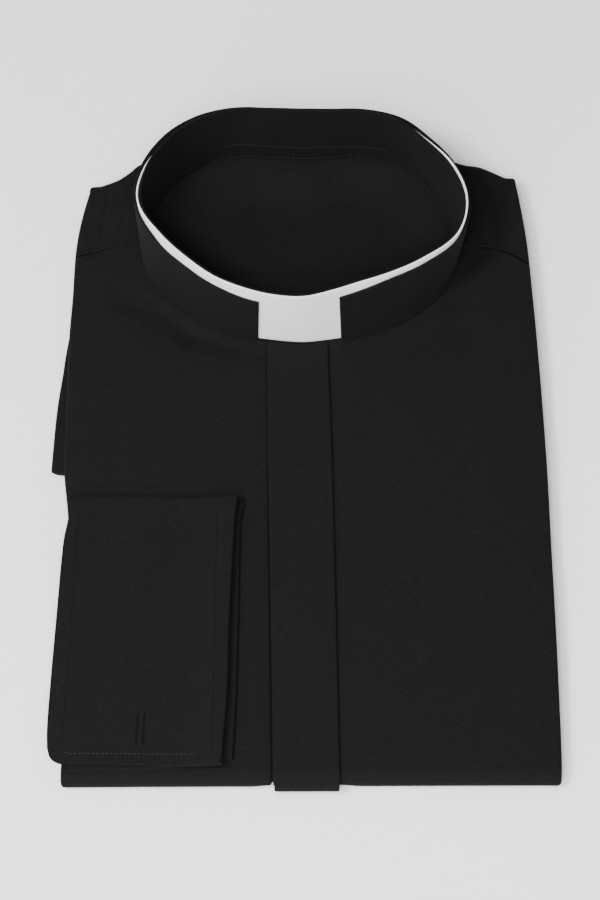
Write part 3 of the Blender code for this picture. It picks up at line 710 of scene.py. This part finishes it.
def layers_point(x_share, along_share, level):
    """A point of the hidden layers, at a level from their top (0) to their underside (1)."""
    side = 1 if x_share >= 0 else -1
    inset = layers_inset(level)
    along = LAYERS_START + (SHOULDER_MIDDLE - LAYERS_START) * along_share
    half = body_half(side, along) - LAYERS_SIDE
    x = x_share * half - (side * inset if abs(x_share) >= 1 else 0)
    far = SHOULDER.read("along", x) - LAYERS_FAR_GAP
    along = LAYERS_START + (far - LAYERS_START) * along_share
    along += inset if along_share <= 0 else -inset if along_share >= 1 else 0
    under = tuck(x) * (1 - ease((x - UNDERLAP) / LAYERS_TUCK_EASE))
    top = cloth_height(x, along) - WALL - SEAM_GAP - under
    floor = ease((along - NECK_FLOOR_START) / (NECK_FLOOR_END - NECK_FLOOR_START))
    top += (LOWER_LEVEL - SEAM_GAP - top) * floor
    bottom = under_lift(x) + WALL + SEAM_GAP + under
    return x, along, top + (bottom - top) * level


def placed(point):
    """The point in the object's frame, whose origin is under the middle of the whole shirt."""
    x, along, height = point
    return Vector((x - MIDDLE_X, along - MIDDLE_ALONG, height))


def linear_colour(code):
    """The linear colour of an sRGB hex code."""
    parts = [int(code[i : i + 2], 16) / 255 for i in (1, 3, 5)]
    return [part / 12.92 if part <= 0.04045 else ((part + 0.055) / 1.055) ** 2.4 for part in parts]


class ShirtSizes(bpy.types.PropertyGroup):
    """Sizes of the cloth, its grids and its stitches."""

    cloth_wall: FloatProperty(
        name="Cloth thickness", description="Thickness of one layer", default=0.0005, unit="LENGTH"
    )
    cell: FloatProperty(
        name="Cell", description="Width of a panel's cells", default=0.0017, unit="LENGTH"
    )
    stitch: FloatProperty(
        name="Stitch", description="Length of one stitch", default=0.0016, unit="LENGTH"
    )
    stitch_pitch: FloatProperty(
        name="Stitch pitch", description="From stitch to stitch", default=0.0021, unit="LENGTH"
    )
    thread: FloatProperty(
        name="Thread", description="Thickness of the sewing thread", default=0.0004, unit="LENGTH"
    )
    weave: FloatProperty(
        name="Weave", description="Distance from thread to thread", default=0.00045, unit="LENGTH"
    )


class ShirtColours(bpy.types.PropertyGroup):
    """Colours of the cloth, the thread, the insert and the floor."""

    cloth: FloatVectorProperty(
        name="Cloth", description="Black poplin", subtype="COLOR", default=linear_colour("#0E0E0E")
    )
    cloth_light: FloatVectorProperty(
        name="Light threads",
        description="The lighter threads of the poplin",
        subtype="COLOR",
        default=linear_colour("#161616"),
    )
    thread: FloatVectorProperty(
        name="Thread",
        description="Sewing thread",
        subtype="COLOR",
        default=linear_colour("#0C0C0C"),
    )
    # Black thread painted lighter: a painted highlight on the rows of stitches inside the collar.
    soft_painted_highlight_thread: FloatVectorProperty(
        name="Softly lit thread",
        description="Sewing thread in the rows inside the collar",
        subtype="COLOR",
        default=linear_colour("#2A2A2B"),
    )
    # Black thread painted lighter: a painted highlight on the rows of stitches that catch the
    # light.
    painted_highlight_thread: FloatVectorProperty(
        name="Lit thread",
        description="Sewing thread in the rows that catch the light",
        subtype="COLOR",
        default=linear_colour("#2A2A2C"),
    )
    insert: FloatVectorProperty(
        name="Insert", description="White insert", subtype="COLOR", default=linear_colour("#FCFCFE")
    )
    floor: FloatVectorProperty(
        name="Floor", description="Pale floor", subtype="COLOR", default=linear_colour("#F1F1F1")
    )


class ShirtLights(bpy.types.PropertyGroup):
    """Powers of the lights."""

    key: FloatProperty(
        name="Key", description="Power of the window light on the left", default=34.0, unit="POWER"
    )
    front: FloatProperty(
        name="Front", description="Power of the soft box high in front", default=39.0, unit="POWER"
    )
    low: FloatProperty(
        name="Low", description="Power of the low light at the left", default=18.0, unit="POWER"
    )
    sky: FloatProperty(
        name="Sky", description="Strength of the light from all round", default=0.52
    )


def set_inputs(node, inputs):
    """Gives a node its inputs: a value on the socket itself, or a link from another socket."""
    for name, value in inputs.items():
        if isinstance(value, bpy.types.NodeSocket):
            node.id_data.links.new(value, node.inputs[name])
        else:
            node.inputs[name].default_value = value


def add_node(tree, kind, inputs=None, **settings):
    """A shader node with its settings and inputs."""
    node = tree.nodes.new("ShaderNode" + kind)
    for name, value in settings.items():
        setattr(node, name, value)
    set_inputs(node, inputs or {})
    return node


def new_material(name):
    """(material, its tree, its shader) of a new material."""
    made = bpy.data.materials.new(name)
    made.use_nodes = True
    return made, made.node_tree, made.node_tree.nodes["Principled BSDF"]


# The sizes of the materials' unevenness, in metres.
SLUB_WIDTHS = (0.00077, 0.00087)
SLUB_STRETCHES = ((1, 0.3, 1), (0.3, 1, 1))
CLOTH_PATCH = 0.0182
THREAD_TWIST = 0.000385
INSERT_GRAIN = 0.000667
INSERT_CLOUD = 0.025


def thread_profile(tree, across, spacing):
    """The rounded height of the threads that lie side by side across one direction."""
    turns = add_node(tree, "Math", {0: across, 1: math.pi / spacing}, operation="MULTIPLY")
    wave = add_node(tree, "Math", {0: turns.outputs[0]}, operation="SINE")
    return add_node(tree, "Math", {0: wave.outputs[0]}, operation="ABSOLUTE").outputs[0]


def black_poplin():
    """Black poly-cotton poplin: a plain weave of fine threads, matt, with a faint bloom of fibres
    along edges and a slight unevenness from thread to thread. The real threads are 0.25 mm
    apart, and are drawn 0.45 mm apart so that they show from near by."""
    if "black_poplin" in bpy.data.materials:
        return bpy.data.materials["black_poplin"]
    colours = bpy.context.scene.shirt_colours
    spacing = bpy.context.scene.shirt_sizes.weave
    made, tree, shader = new_material("black_poplin")
    place = add_node(tree, "UVMap", uv_map=CLOTH_MAP).outputs["UV"]
    split = add_node(tree, "SeparateXYZ", {0: place})
    warp, weft = [thread_profile(tree, split.outputs[axis], spacing) for axis in "XY"]
    over = add_node(tree, "TexChecker", {"Vector": place, "Scale": 1 / spacing})
    weave = add_node(tree, "Mix", {"Factor": over.outputs["Fac"], "A": warp, "B": weft})
    slubs = []
    for width, stretch in zip(SLUB_WIDTHS, SLUB_STRETCHES):
        drawn = add_node(tree, "Mapping", {"Vector": place, "Scale": stretch})
        grain = {"Vector": drawn.outputs[0], "Scale": 1 / width, "Detail": 3.0}
        slubs.append(add_node(tree, "TexNoise", grain).outputs["Fac"])
    slub_sum = add_node(tree, "Math", {0: slubs[0], 1: slubs[1]}).outputs[0]
    patch = {"Vector": place, "Scale": 1 / CLOTH_PATCH, "Detail": 2.0}
    patches = add_node(tree, "TexNoise", patch).outputs["Fac"]
    uneven = add_node(tree, "Math", {0: patches, 1: 0.2, 2: slub_sum}, operation="MULTIPLY_ADD")
    shares = {"Value": uneven.outputs[0], "From Min": 0.65, "From Max": 1.55}
    share = add_node(tree, "MapRange", shares).outputs[0]
    ends = {"Factor": share, "A": (*colours.cloth, 1), "B": (*colours.cloth_light, 1)}
    colour = add_node(tree, "Mix", ends, data_type="RGBA")
    rough = add_node(tree, "MapRange", {"Value": share, "To Min": 0.78, "To Max": 0.88})
    raised = {0: slub_sum, 1: 0.35, 2: weave.outputs["Result"]}
    height = add_node(tree, "Math", raised, operation="MULTIPLY_ADD").outputs[0]
    bump = add_node(tree, "Bump", {"Height": height, "Strength": 0.35, "Distance": 0.00012})
    finish = {
        "Base Color": colour.outputs["Result"],
        "Roughness": rough.outputs[0],
        "Normal": bump.outputs[0],
        "Specular IOR Level": 0.04,
        "Sheen Weight": 0.01,
        "Sheen Roughness": 0.5,
    }
    set_inputs(shader, finish)
    return made


def sewing_thread(shade):
    """Black polyester sewing thread: two plies twisted together, with a faint shine. It is as dark
    as the cloth; the rows that catch the light are given a lighter colour, a painted highlight."""
    name = "sewing_" + shade
    if name in bpy.data.materials:
        return bpy.data.materials[name]
    made, tree, shader = new_material(name)
    twist = {"Vector": add_node(tree, "TexCoord").outputs["Object"], "Scale": 1 / THREAD_TWIST}
    plies = add_node(tree, "TexNoise", {**twist, "Detail": 1.0}).outputs["Fac"]
    bump = add_node(tree, "Bump", {"Height": plies, "Strength": 0.4, "Distance": 0.0001})
    finish = {
        "Base Color": (*getattr(bpy.context.scene.shirt_colours, shade), 1),
        "Roughness": 0.7,
        "Normal": bump.outputs[0],
        "Specular IOR Level": 0.03,
    }
    set_inputs(shader, finish)
    return made


def white_insert():
    """White insert of stiffened cotton, pressed smooth: clean, with a soft satin shine and a
    trace of its fine weave."""
    if "white_insert" in bpy.data.materials:
        return bpy.data.materials["white_insert"]
    white = bpy.context.scene.shirt_colours.insert
    made, tree, shader = new_material("white_insert")
    place = add_node(tree, "UVMap", uv_map=CLOTH_MAP).outputs["UV"]
    fine = {"Vector": place, "Scale": 1 / INSERT_GRAIN, "Detail": 2.0}
    grain = add_node(tree, "TexNoise", fine).outputs["Fac"]
    broad = {"Vector": place, "Scale": 1 / INSERT_CLOUD, "Detail": 1.0}
    clouds = add_node(tree, "TexNoise", broad).outputs["Fac"]
    ends = {"Factor": clouds, "A": (*[0.98 * part for part in white], 1), "B": (*white, 1)}
    colour = add_node(tree, "Mix", ends, data_type="RGBA")
    bump = add_node(tree, "Bump", {"Height": grain, "Strength": 0.15, "Distance": 0.0001})
    finish = {
        "Base Color": colour.outputs["Result"],
        "Roughness": 0.4,
        "Normal": bump.outputs[0],
    }
    set_inputs(shader, finish)
    return made


def pale_floor():
    """Matt white paper backdrop: even, with no shine."""
    made, _, shader = new_material("pale_floor")
    finish = {
        "Base Color": (*bpy.context.scene.shirt_colours.floor, 1),
        "Roughness": 0.9,
        "Specular IOR Level": 0.1,
    }
    set_inputs(shader, finish)
    return made


def spaced(start, end, count, power=1.0):
    """Evenly spaced values, or values that stand closer together near the start."""
    return [start + (end - start) * (i / count) ** power for i in range(count + 1)]


def filled(stops, step):
    """The stops, with more values between them wherever they are more than a step apart."""
    values = [stops[0]]
    for start, end in zip(stops, stops[1:]):
        count = max(1, math.ceil(abs(end - start) / step))
        values += spaced(start, end, count)[1:]
    return values


def flat_grid(columns, rows):
    """A grid with a vertex for each column and row, and the function that bends it to a surface."""
    mesh = bmesh.new()
    column_of = mesh.verts.layers.int.new("column")
    row_of = mesh.verts.layers.int.new("row")
    across = len(columns) - 1
    down = len(rows) - 1
    bmesh.ops.create_grid(mesh, x_segments=across, y_segments=down, size=1.0)
    for vert in mesh.verts:
        vert[column_of] = round((vert.co.x + 1) / 2 * across)
        vert[row_of] = round((vert.co.y + 1) / 2 * down)

    def bend(items, surface, depth):
        for item in items:
            if isinstance(item, bmesh.types.BMVert):
                item.co = placed(surface(columns[item[column_of]], rows[item[row_of]], depth))

    return mesh, bend


def lengths_along(points):
    """Distance from the first point to each of the points, along them."""
    total = 0.0
    lengths = [0.0]
    for start, end in zip(points, points[1:]):
        total += (end - start).length
        lengths.append(total)
    return lengths


def map_cloth(mesh, columns, rows, surface, closed):
    """Gives the faces a map in metres of cloth, measured along the middle row and column."""
    column_of = mesh.verts.layers.int["column"]
    row_of = mesh.verts.layers.int["row"]
    layer = mesh.loops.layers.uv.new(CLOTH_MAP)
    middle_row = rows[len(rows) // 2]
    middle_column = columns[len(columns) // 2]
    across = lengths_along([placed(surface(column, middle_row, 0.0)) for column in columns])
    down = lengths_along([placed(surface(middle_column, row, 0.0)) for row in rows])
    for face in mesh.faces:
        used = [loop.vert[column_of] for loop in face.loops]
        wraps = closed and max(used) - min(used) > 1
        for loop in face.loops:
            column = loop.vert[column_of]
            if wraps and column == 0:
                column = len(columns) - 1
            elif wraps and column == len(columns) - 1 and min(used) == 1:
                column = 0
            loop[layer].uv = (across[column], down[loop.vert[row_of]])


def round_edges(mesh, width):
    """Rounds the corners of a wall's cut or folded edges."""
    corners = [
        edge
        for edge in mesh.edges
        if edge.is_manifold and edge.calc_face_angle(0.0) > ROUND_ANGLE
    ]
    bmesh.ops.bevel(
        mesh,
        geom=corners,
        offset=width,
        offset_type="OFFSET",
        segments=2,
        profile=0.5,
        affect="EDGES",
        material=-1,
        clamp_overlap=True,
    )


def new_object(name, data):
    """A new object in the scene."""
    made = bpy.data.objects.new(name, data)
    bpy.context.scene.collection.objects.link(made)
    return made


def piece_from(name, mesh, look, node=None):
    """The named piece that a finished mesh makes. It stands for the solid of that node."""
    bmesh.ops.recalc_face_normals(mesh, faces=mesh.faces)
    data = bpy.data.meshes.new(name)
    mesh.to_mesh(data)
    mesh.free()
    data.shade_smooth()
    data.set_sharp_from_angle(angle=SMOOTH_ANGLE)
    data.materials.append(look)
    piece = new_object(name, data)
    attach(piece, "root")
    if node:
        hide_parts(node)
    return piece


def cloth_piece(name, node, columns, rows, surface, wall, closed=False, look=None):
    """A wall of cloth on its node's form: a grid bent by surface(column, row, depth)."""
    mesh, bend = flat_grid(columns, rows)
    bend(mesh.verts, surface, 0.0)
    if closed:
        bmesh.ops.remove_doubles(mesh, verts=mesh.verts, dist=MERGE_DISTANCE)
    grown = bmesh.ops.extrude_face_region(mesh, geom=mesh.faces[:], use_keep_orig=True)
    bend(grown["geom"], surface, wall)
    bmesh.ops.recalc_face_normals(mesh, faces=mesh.faces)
    map_cloth(mesh, columns, rows, surface, closed)
    round_edges(mesh, wall * EDGE_ROUNDING)
    return piece_from(name, mesh, look or black_poplin(), node)


def stitches(mesh, surface, path, face=0.0, back=WALL / 2):
    """Adds a row of stitches to a mesh. They follow a path of (column, row) on the face of a
    surface at one depth, and stand away from the depth behind it."""
    sizes = bpy.context.scene.shirt_sizes
    points = [placed(surface(column, row, face)) for column, row in path]
    behind = [placed(surface(column, row, back)) for column, row in path]
    lengths = lengths_along(points)
    where = sizes.stitch_pitch / 2
    while where < lengths[-1]:
        i = bisect.bisect_right(lengths, where) - 1
        share = (where - lengths[i]) / (lengths[i + 1] - lengths[i])
        point = points[i].lerp(points[i + 1], share)
        direction = (points[i + 1] - points[i]).normalized()
        outward = (points[i] - behind[i]).normalized()
        across = outward.cross(direction).normalized()
        turn = Matrix((direction, across, outward)).transposed().to_4x4()
        half = sizes.thread / 2
        shape = Matrix.Diagonal((sizes.stitch / 2, half, half / THREAD_FLATNESS, 1.0))
        bmesh.ops.create_uvsphere(
            mesh,
            u_segments=6,
            v_segments=5,
            radius=1.0,
            matrix=Matrix.Translation(point) @ turn @ shape,
        )
        where += sizes.stitch_pitch


def stitching_piece(name, rows, shade="thread"):
    """One piece with rows of stitches, each given as the arguments of stitches."""
    mesh = bmesh.new()
    for row in rows:
        stitches(mesh, *row)
    return piece_from(name, mesh, sewing_thread(shade))


def side_columns(cell):
    """Distances of cloth from beside the neck, round the side fold and back under."""
    fold_end = FLAT_CLOTH + math.pi * SIDE_FOLD
    flat = filled([NECK_HALF, FLAT_CLOTH], cell)
    fold = spaced(FLAT_CLOTH, fold_end, count=10)
    return flat + fold[1:] + spaced(fold_end, fold_end + SIDE_RETURN, count=3)[1:]


def neck_columns(first_angle):
    """Distances of cloth from the centre line that divide the neckline evenly."""
    columns = []
    angle = first_angle
    while angle < 90:
        columns.append(NECK_HALF * math.sin(math.radians(angle)))
        angle += NECK_STEP
    return columns


def fold_and_back(fold, back):
    """Runs round a fold (1 to 2) and back along its other side (to 3), in so many cells."""
    return spaced(1.0, 2.0, fold)[1:] + spaced(2.0, 3.0, back)[1:]


def body_runs():
    """Runs of the fronts and the placket, in cells that are shorter near the collar."""
    return spaced(0.0, 1.0, count=170, power=1.1) + fold_and_back(fold=16, back=60)


class SHIRT_OT_make_fronts(bpy.types.Operator):
    """Makes the two fronts and the stitched hem that lies below."""

    bl_idname = "shirt.make_fronts"
    bl_label = "Make Fronts"

    def execute(self, context):
        sizes = context.scene.shirt_sizes
        settle = PLACKET_RIGHT + PLACKET_SETTLE
        left = filled([PLACKET_LEFT + SEAM_GAP, PLACKET_RIGHT, settle], sizes.cell)
        left += neck_columns(first_angle=18) + side_columns(sizes.cell)
        right = filled([-UNDERLAP, -TUCK_END, -TUCK_START], sizes.cell)
        right += neck_columns(first_angle=20) + side_columns(sizes.cell)
        for name, side, columns, width in (("left", 1, left, 0.146), ("right", -1, right, 0.140)):
            surface = functools.partial(front_point, side)
            wall = sizes.cloth_wall
            piece = cloth_piece(
                "front_cloth_" + name, "front_" + name, columns, body_runs(), surface, wall
            )
            across = filled([columns[0] + ROW_INSET, FLAT_CLOTH], PATH_STEP)
            hem = [(distance, HEM_RUN) for distance in across]
            thread = stitching_piece("hem_stitching_" + name, [(surface, hem, sizes.thread / 2)])
        return {"FINISHED"}


class SHIRT_OT_make_placket(bpy.types.Operator):
    """Makes the placket, whose stitching does not show."""

    bl_idname = "shirt.make_placket"
    bl_label = "Make Placket"

    def execute(self, context):
        sizes = context.scene.shirt_sizes
        columns = filled([PLACKET_LEFT, PLACKET_RIGHT], sizes.cell)
        piece = cloth_piece(
            "placket_cloth", "placket", columns, body_runs(), placket_point, PLACKET_WALL
        )
        return {"FINISHED"}


def shoulder_row(side):
    """The path of the stitches that follow the seam of one shoulder."""
    path = []
    for distance in spaced(NECK_HALF + ROW_INSET, FLAT_CLOTH + SIDE_FOLD, count=20):
        x, _ = side_fold(distance, side, COLLAR_ALONG, 0.0)
        fold = SHOULDER.read("along", x) - SHOULDER.read("reach", x)
        path.append((side * distance, SEAM_ROW / (fold - neck_edge(x, False))))
    return path


class SHIRT_OT_make_yoke(bpy.types.Operator):
    """Makes the yoke and the back that show round and inside the neck."""

    bl_idname = "shirt.make_yoke"
    bl_label = "Make Yoke and Back"

    def execute(self, context):
        sizes = context.scene.shirt_sizes
        half = neck_columns(NECK_STEP) + side_columns(sizes.cell)
        columns = [-distance for distance in reversed(half)] + [0.0] + half
        runs = spaced(0.0, 1.0, count=26) + fold_and_back(fold=16, back=40)
        piece = cloth_piece("yoke_cloth", "yoke", columns, runs, yoke_point, sizes.cloth_wall)
        rows = [(yoke_point, shoulder_row(side)) for side in (-1, 1)]
        thread = stitching_piece("yoke_stitching", rows)
        columns = filled([-INNER_YOKE_HALF, INNER_YOKE_HALF], BACK_CELL)
        rows = filled([BACK_END_ALONG, YOKE_SEAM_ALONG - SEAM_GAP], BACK_CELL)
        back = cloth_piece("back_cloth", "back", columns, rows, back_point, sizes.cloth_wall)
        across = filled([-BACK_ROW_HALF, BACK_ROW_HALF], PATH_STEP)
        row = [(x, YOKE_SEAM_ALONG - ROW_INSET) for x in across]
        back_thread = stitching_piece("back_stitching", [(back_point, row)])
        return {"FINISHED"}


class SHIRT_OT_make_collar(bpy.types.Operator):
    """Makes the collar's inner band, its white insert and its outer band."""

    bl_idname = "shirt.make_collar"
    bl_label = "Make Collar"

    def execute(self, context):
        gap_to_gap = spaced(TAB_RIGHT, 360.0 + TAB_LEFT, COLLAR_COLUMNS)
        full_turn = gap_to_gap + spaced(gap_to_gap[-1], 360.0 + TAB_RIGHT, TAB_COLUMNS)[1:]
        shares = spaced(0.0, 1.0, COLLAR_ROWS)
        surface = functools.partial(band_point, "inner")
        inner = cloth_piece(
            "collar_band_inner",
            "collar_inner",
            full_turn,
            [BAND_DROP] + shares,
            surface,
            BAND_WALL,
            closed=True,
        )
        rows = []
        for share, end_share, first, last in NECK_ROWS:
            angles = spaced(first, last, PATH_POINTS)
            row = list(zip(angles, spaced(share, end_share, PATH_POINTS)))
            rows.append((surface, row, BAND_WALL, BAND_WALL / 2))
        # The rows at the back of the neck are painted lighter than the black thread: a painted
        # highlight.
        thread = stitching_piece("collar_stitching", rows, "soft_painted_highlight_thread")
        insert = cloth_piece(
            "white_collar_insert",
            "collar_insert",
            full_turn,
            shares,
            functools.partial(band_point, "insert"),
            INSERT_WALL,
            closed=True,
            look=white_insert(),
        )
        surface = functools.partial(band_point, "outer")
        outer = cloth_piece(
            "collar_band_outer", "collar_outer", gap_to_gap, shares, surface, BAND_WALL
        )
        return {"FINISHED"}


class SHIRT_OT_make_sleeves(bpy.types.Operator):
    """Makes what shows of the two sleeves."""

    bl_idname = "shirt.make_sleeves"
    bl_label = "Make Sleeves"

    def execute(self, context):
        # The last cells are those of the thinned edge.
        shares = spaced(0.0, 0.96, count=30) + [0.98, 1.0]
        rows = filled(SLEEVE.keys, SLEEVE_CELL)
        for name, side, width in (("right", -1, 0.026), ("left", 1, SLEEVE_LEFT_RUN)):
            surface = functools.partial(sleeve_point, side)
            piece = cloth_piece(
                "sleeve_cloth_" + name, "sleeve_" + name, shares, rows, surface, SLEEVE_WALL
            )
        return {"FINISHED"}


def cuff_place(x, along):
    """(wrist, fold) of a point on the upper face of the cuff."""
    free = CUFF.read("flap", along)
    share = (x - free) / (CUFF.read("upper_hand", along) - free)
    far_end = CUFF_WRIST_ALONG + CUFF_WRIST_RISE * (1 - share)
    near_end = CUFF_UPPER_END + CUFF_UPPER_SKEW * share
    return 2 + (far_end - along) / (far_end - near_end), share


def cuff_path(stops):
    """Places on the cuff's upper face along straight runs between stops of (x, along)."""
    path = []
    for (x0, along0), (x1, along1) in zip(stops, stops[1:]):
        for share in spaced(0.0, 1.0, count=24)[:-1]:
            path.append(cuff_place(x0 + (x1 - x0) * share, along0 + (along1 - along0) * share))
    return path + [cuff_place(*stops[-1])]


# Rows of stitches on the cuff, as stops of (x, along), and the ends of its buttonhole.
CUFF_SIDE_ROW = (
    (-0.1085, 0.1390),
    (-0.1122, 0.0425),
    (-0.1140, 0.0230),
    (-0.1142, 0.0165),
)
CUFF_END_ROW = ((-0.1128, 0.0130), (-0.1100, 0.0123), (-0.0528, 0.0105))
CUFF_HAND_ROW = ((-0.0424, 0.1370), (-0.0446, 0.0365), (-0.0452, 0.0110))
BUTTONHOLE = ((-0.0776, 0.0309), (-0.0784, 0.0158))
BUTTONHOLE_EDGE = 0.0005
BUTTONHOLE_REACH = 0.0016
BUTTONHOLE_STITCHES = 34


def buttonhole_rows():
    """Short stitches side by side along both edges of the buttonhole and across its ends."""
    (x0, along0), (x1, along1) = BUTTONHOLE
    rows = []
    for side in (-1, 1):
        for share in spaced(0.0, 1.0, BUTTONHOLE_STITCHES):
            x = x0 + (x1 - x0) * share + side * BUTTONHOLE_EDGE
            along = along0 + (along1 - along0) * share
            reach = side * BUTTONHOLE_REACH
            rows.append((cuff_point, [cuff_place(x, along), cuff_place(x + reach, along)]))
    for x, along in BUTTONHOLE:
        reach = BUTTONHOLE_EDGE + BUTTONHOLE_REACH
        rows.append((cuff_point, [cuff_place(x - reach, along), cuff_place(x + reach, along)]))
    return rows


class SHIRT_OT_make_cuff(bpy.types.Operator):
    """Makes the double cuff with its stitching and its buttonhole."""

    bl_idname = "shirt.make_cuff"
    bl_label = "Make Double Cuff"

    def execute(self, context):
        # The cells are finer near the corners that are cut round.
        lower = filled([1.0, 0.94], 0.006) + filled([0.94, 0.0], 0.027)[1:]
        wrists = [1.0 - down for down in lower] + fold_and_back(fold=12, back=110)
        folds = filled([0.0, 0.06, 1.0], 0.014) + fold_and_back(fold=10, back=8)
        piece = cloth_piece("cuff_cloth_right", "cuff_right", wrists, folds, cuff_point, CUFF_WALL)
        rows = [(cuff_point, cuff_path(CUFF_SIDE_ROW)), (cuff_point, cuff_path(CUFF_HAND_ROW))]
        thread = stitching_piece("cuff_stitching", rows + buttonhole_rows())
        # The end row is painted lighter than the black thread: a painted highlight.
        end_row = [(cuff_point, cuff_path(CUFF_END_ROW))]
        end_thread = stitching_piece("cuff_end_stitching", end_row, "painted_highlight_thread")
        return {"FINISHED"}


class SHIRT_OT_make_layers(bpy.types.Operator):
    """Makes the hidden layers, with the folded edges that show at their sides."""

    bl_idname = "shirt.make_layers"
    bl_label = "Make Hidden Layers"

    def execute(self, context):
        # In shares of the width and the length, with rows at the step down inside the neck.
        columns = filled([-1.0, 1.0], 0.03)
        rows = filled([0.0, 0.56, 0.62, 1.0], 0.02)
        mesh, bend = flat_grid(columns, rows)
        bend(mesh.verts, layers_point, 0.0)
        top = mesh.faces[:]
        for level in spaced(0.0, 1.0, LAYER_ROWS * len(LAYER_EDGES))[1:]:
            open_edge = [edge for edge in mesh.edges if edge.is_boundary]
            grown = bmesh.ops.extrude_edge_only(mesh, edges=open_edge)
            bend(grown["geom"], layers_point, level)
        underside = bmesh.ops.duplicate(mesh, geom=top)
        bend(underside["geom"], layers_point, 1.0)
        bmesh.ops.remove_doubles(mesh, verts=mesh.verts, dist=MERGE_DISTANCE)
        bmesh.ops.recalc_face_normals(mesh, faces=mesh.faces)
        map_cloth(mesh, columns, rows, layers_point, False)
        piece = piece_from("layers_cloth", mesh, black_poplin(), "folded_layers")
        return {"FINISHED"}


# The stage: the camera's place and turn, and the lights' places and sizes.
CAMERA_PLACE = (-0.0109, -0.8072, 1.4092)
CAMERA_TURN = (math.radians(30), 0.0, math.radians(-0.8))
CAMERA_LENS = 134.0
KEY_PLACE = (-0.80, -0.55, 1.6)
KEY_SIZE = 0.45
FRONT_PLACE = (-0.10, -1.0, 1.60)
FRONT_SIZE = 0.6
LOW_PLACE = (-0.6, -1.25, 0.85)
LOW_SIZE = 1.0
FLOOR_HALF = 4.0


def area_light(name, place, size, power):
    """A square soft light that faces the shirt."""
    data = bpy.data.lights.new(name, "AREA")
    data.size = size
    data.energy = power
    light = new_object(name, data)
    light.location = place
    light.rotation_euler = (-Vector(place)).to_track_quat("-Z", "Y").to_euler()


class SHIRT_OT_make_stage(bpy.types.Operator):
    """Makes the floor, the lights and the camera."""

    bl_idname = "shirt.make_stage"
    bl_label = "Make Stage"

    def execute(self, context):
        scene = context.scene
        mesh = bmesh.new()
        bmesh.ops.create_grid(mesh, x_segments=1, y_segments=1, size=FLOOR_HALF)
        data = bpy.data.meshes.new("floor")
        mesh.to_mesh(data)
        mesh.free()
        data.materials.append(pale_floor())
        new_object("floor", data)
        lights = scene.shirt_lights
        area_light("window_light", KEY_PLACE, KEY_SIZE, lights.key)
        area_light("front_light", FRONT_PLACE, FRONT_SIZE, lights.front)
        area_light("low_light", LOW_PLACE, LOW_SIZE, lights.low)
        world = bpy.data.worlds.new("studio")
        world.use_nodes = True
        sky = {"Color": (1.0, 1.0, 1.0, 1.0), "Strength": lights.sky}
        set_inputs(world.node_tree.nodes["Background"], sky)
        scene.world = world
        camera = new_object("camera", bpy.data.cameras.new("camera"))
        camera.data.lens = CAMERA_LENS
        camera.data.sensor_width = 36.0
        camera.data.clip_start = 0.05
        camera.location = CAMERA_PLACE
        camera.rotation_euler = CAMERA_TURN
        scene.camera = camera
        return {"FINISHED"}


OPERATORS = (
    SHIRT_OT_make_fronts,
    SHIRT_OT_make_placket,
    SHIRT_OT_make_yoke,
    SHIRT_OT_make_collar,
    SHIRT_OT_make_sleeves,
    SHIRT_OT_make_cuff,
    SHIRT_OT_make_layers,
    SHIRT_OT_make_stage,
)
GROUPS = (
    ("shirt_sizes", ShirtSizes),
    ("shirt_colours", ShirtColours),
    ("shirt_lights", ShirtLights),
)


class SHIRT_PT_pieces(bpy.types.Panel):
    """Lists the shirt's sizes, colours, lights and the buttons that make its pieces."""

    bl_label = "Folded Clergy Shirt"
    bl_space_type = "VIEW_3D"
    bl_region_type = "UI"
    bl_category = "Clergy Shirt"

    def draw(self, context):
        for name, group in GROUPS:
            box = self.layout.box()
            for prop in group.__annotations__:
                box.prop(getattr(context.scene, name), prop)
        for operator in OPERATORS:
            self.layout.operator(operator.bl_idname)


def register():
    for name, group in GROUPS:
        bpy.utils.register_class(group)
        setattr(bpy.types.Scene, name, PointerProperty(type=group))
    for operator in OPERATORS:
        bpy.utils.register_class(operator)
    bpy.utils.register_class(SHIRT_PT_pieces)


def unregister():
    bpy.utils.unregister_class(SHIRT_PT_pieces)
    for operator in reversed(OPERATORS):
        bpy.utils.unregister_class(operator)
    for name, group in reversed(GROUPS):
        delattr(bpy.types.Scene, name)
        bpy.utils.unregister_class(group)


def main():
    register()
    bpy.ops.shirt.make_fronts()
    bpy.ops.shirt.make_placket()
    bpy.ops.shirt.make_yoke()
    bpy.ops.shirt.make_collar()
    bpy.ops.shirt.make_sleeves()
    bpy.ops.shirt.make_cuff()
    bpy.ops.shirt.make_layers()
    bpy.ops.shirt.make_stage()


if __name__ == "__main__":
    main()
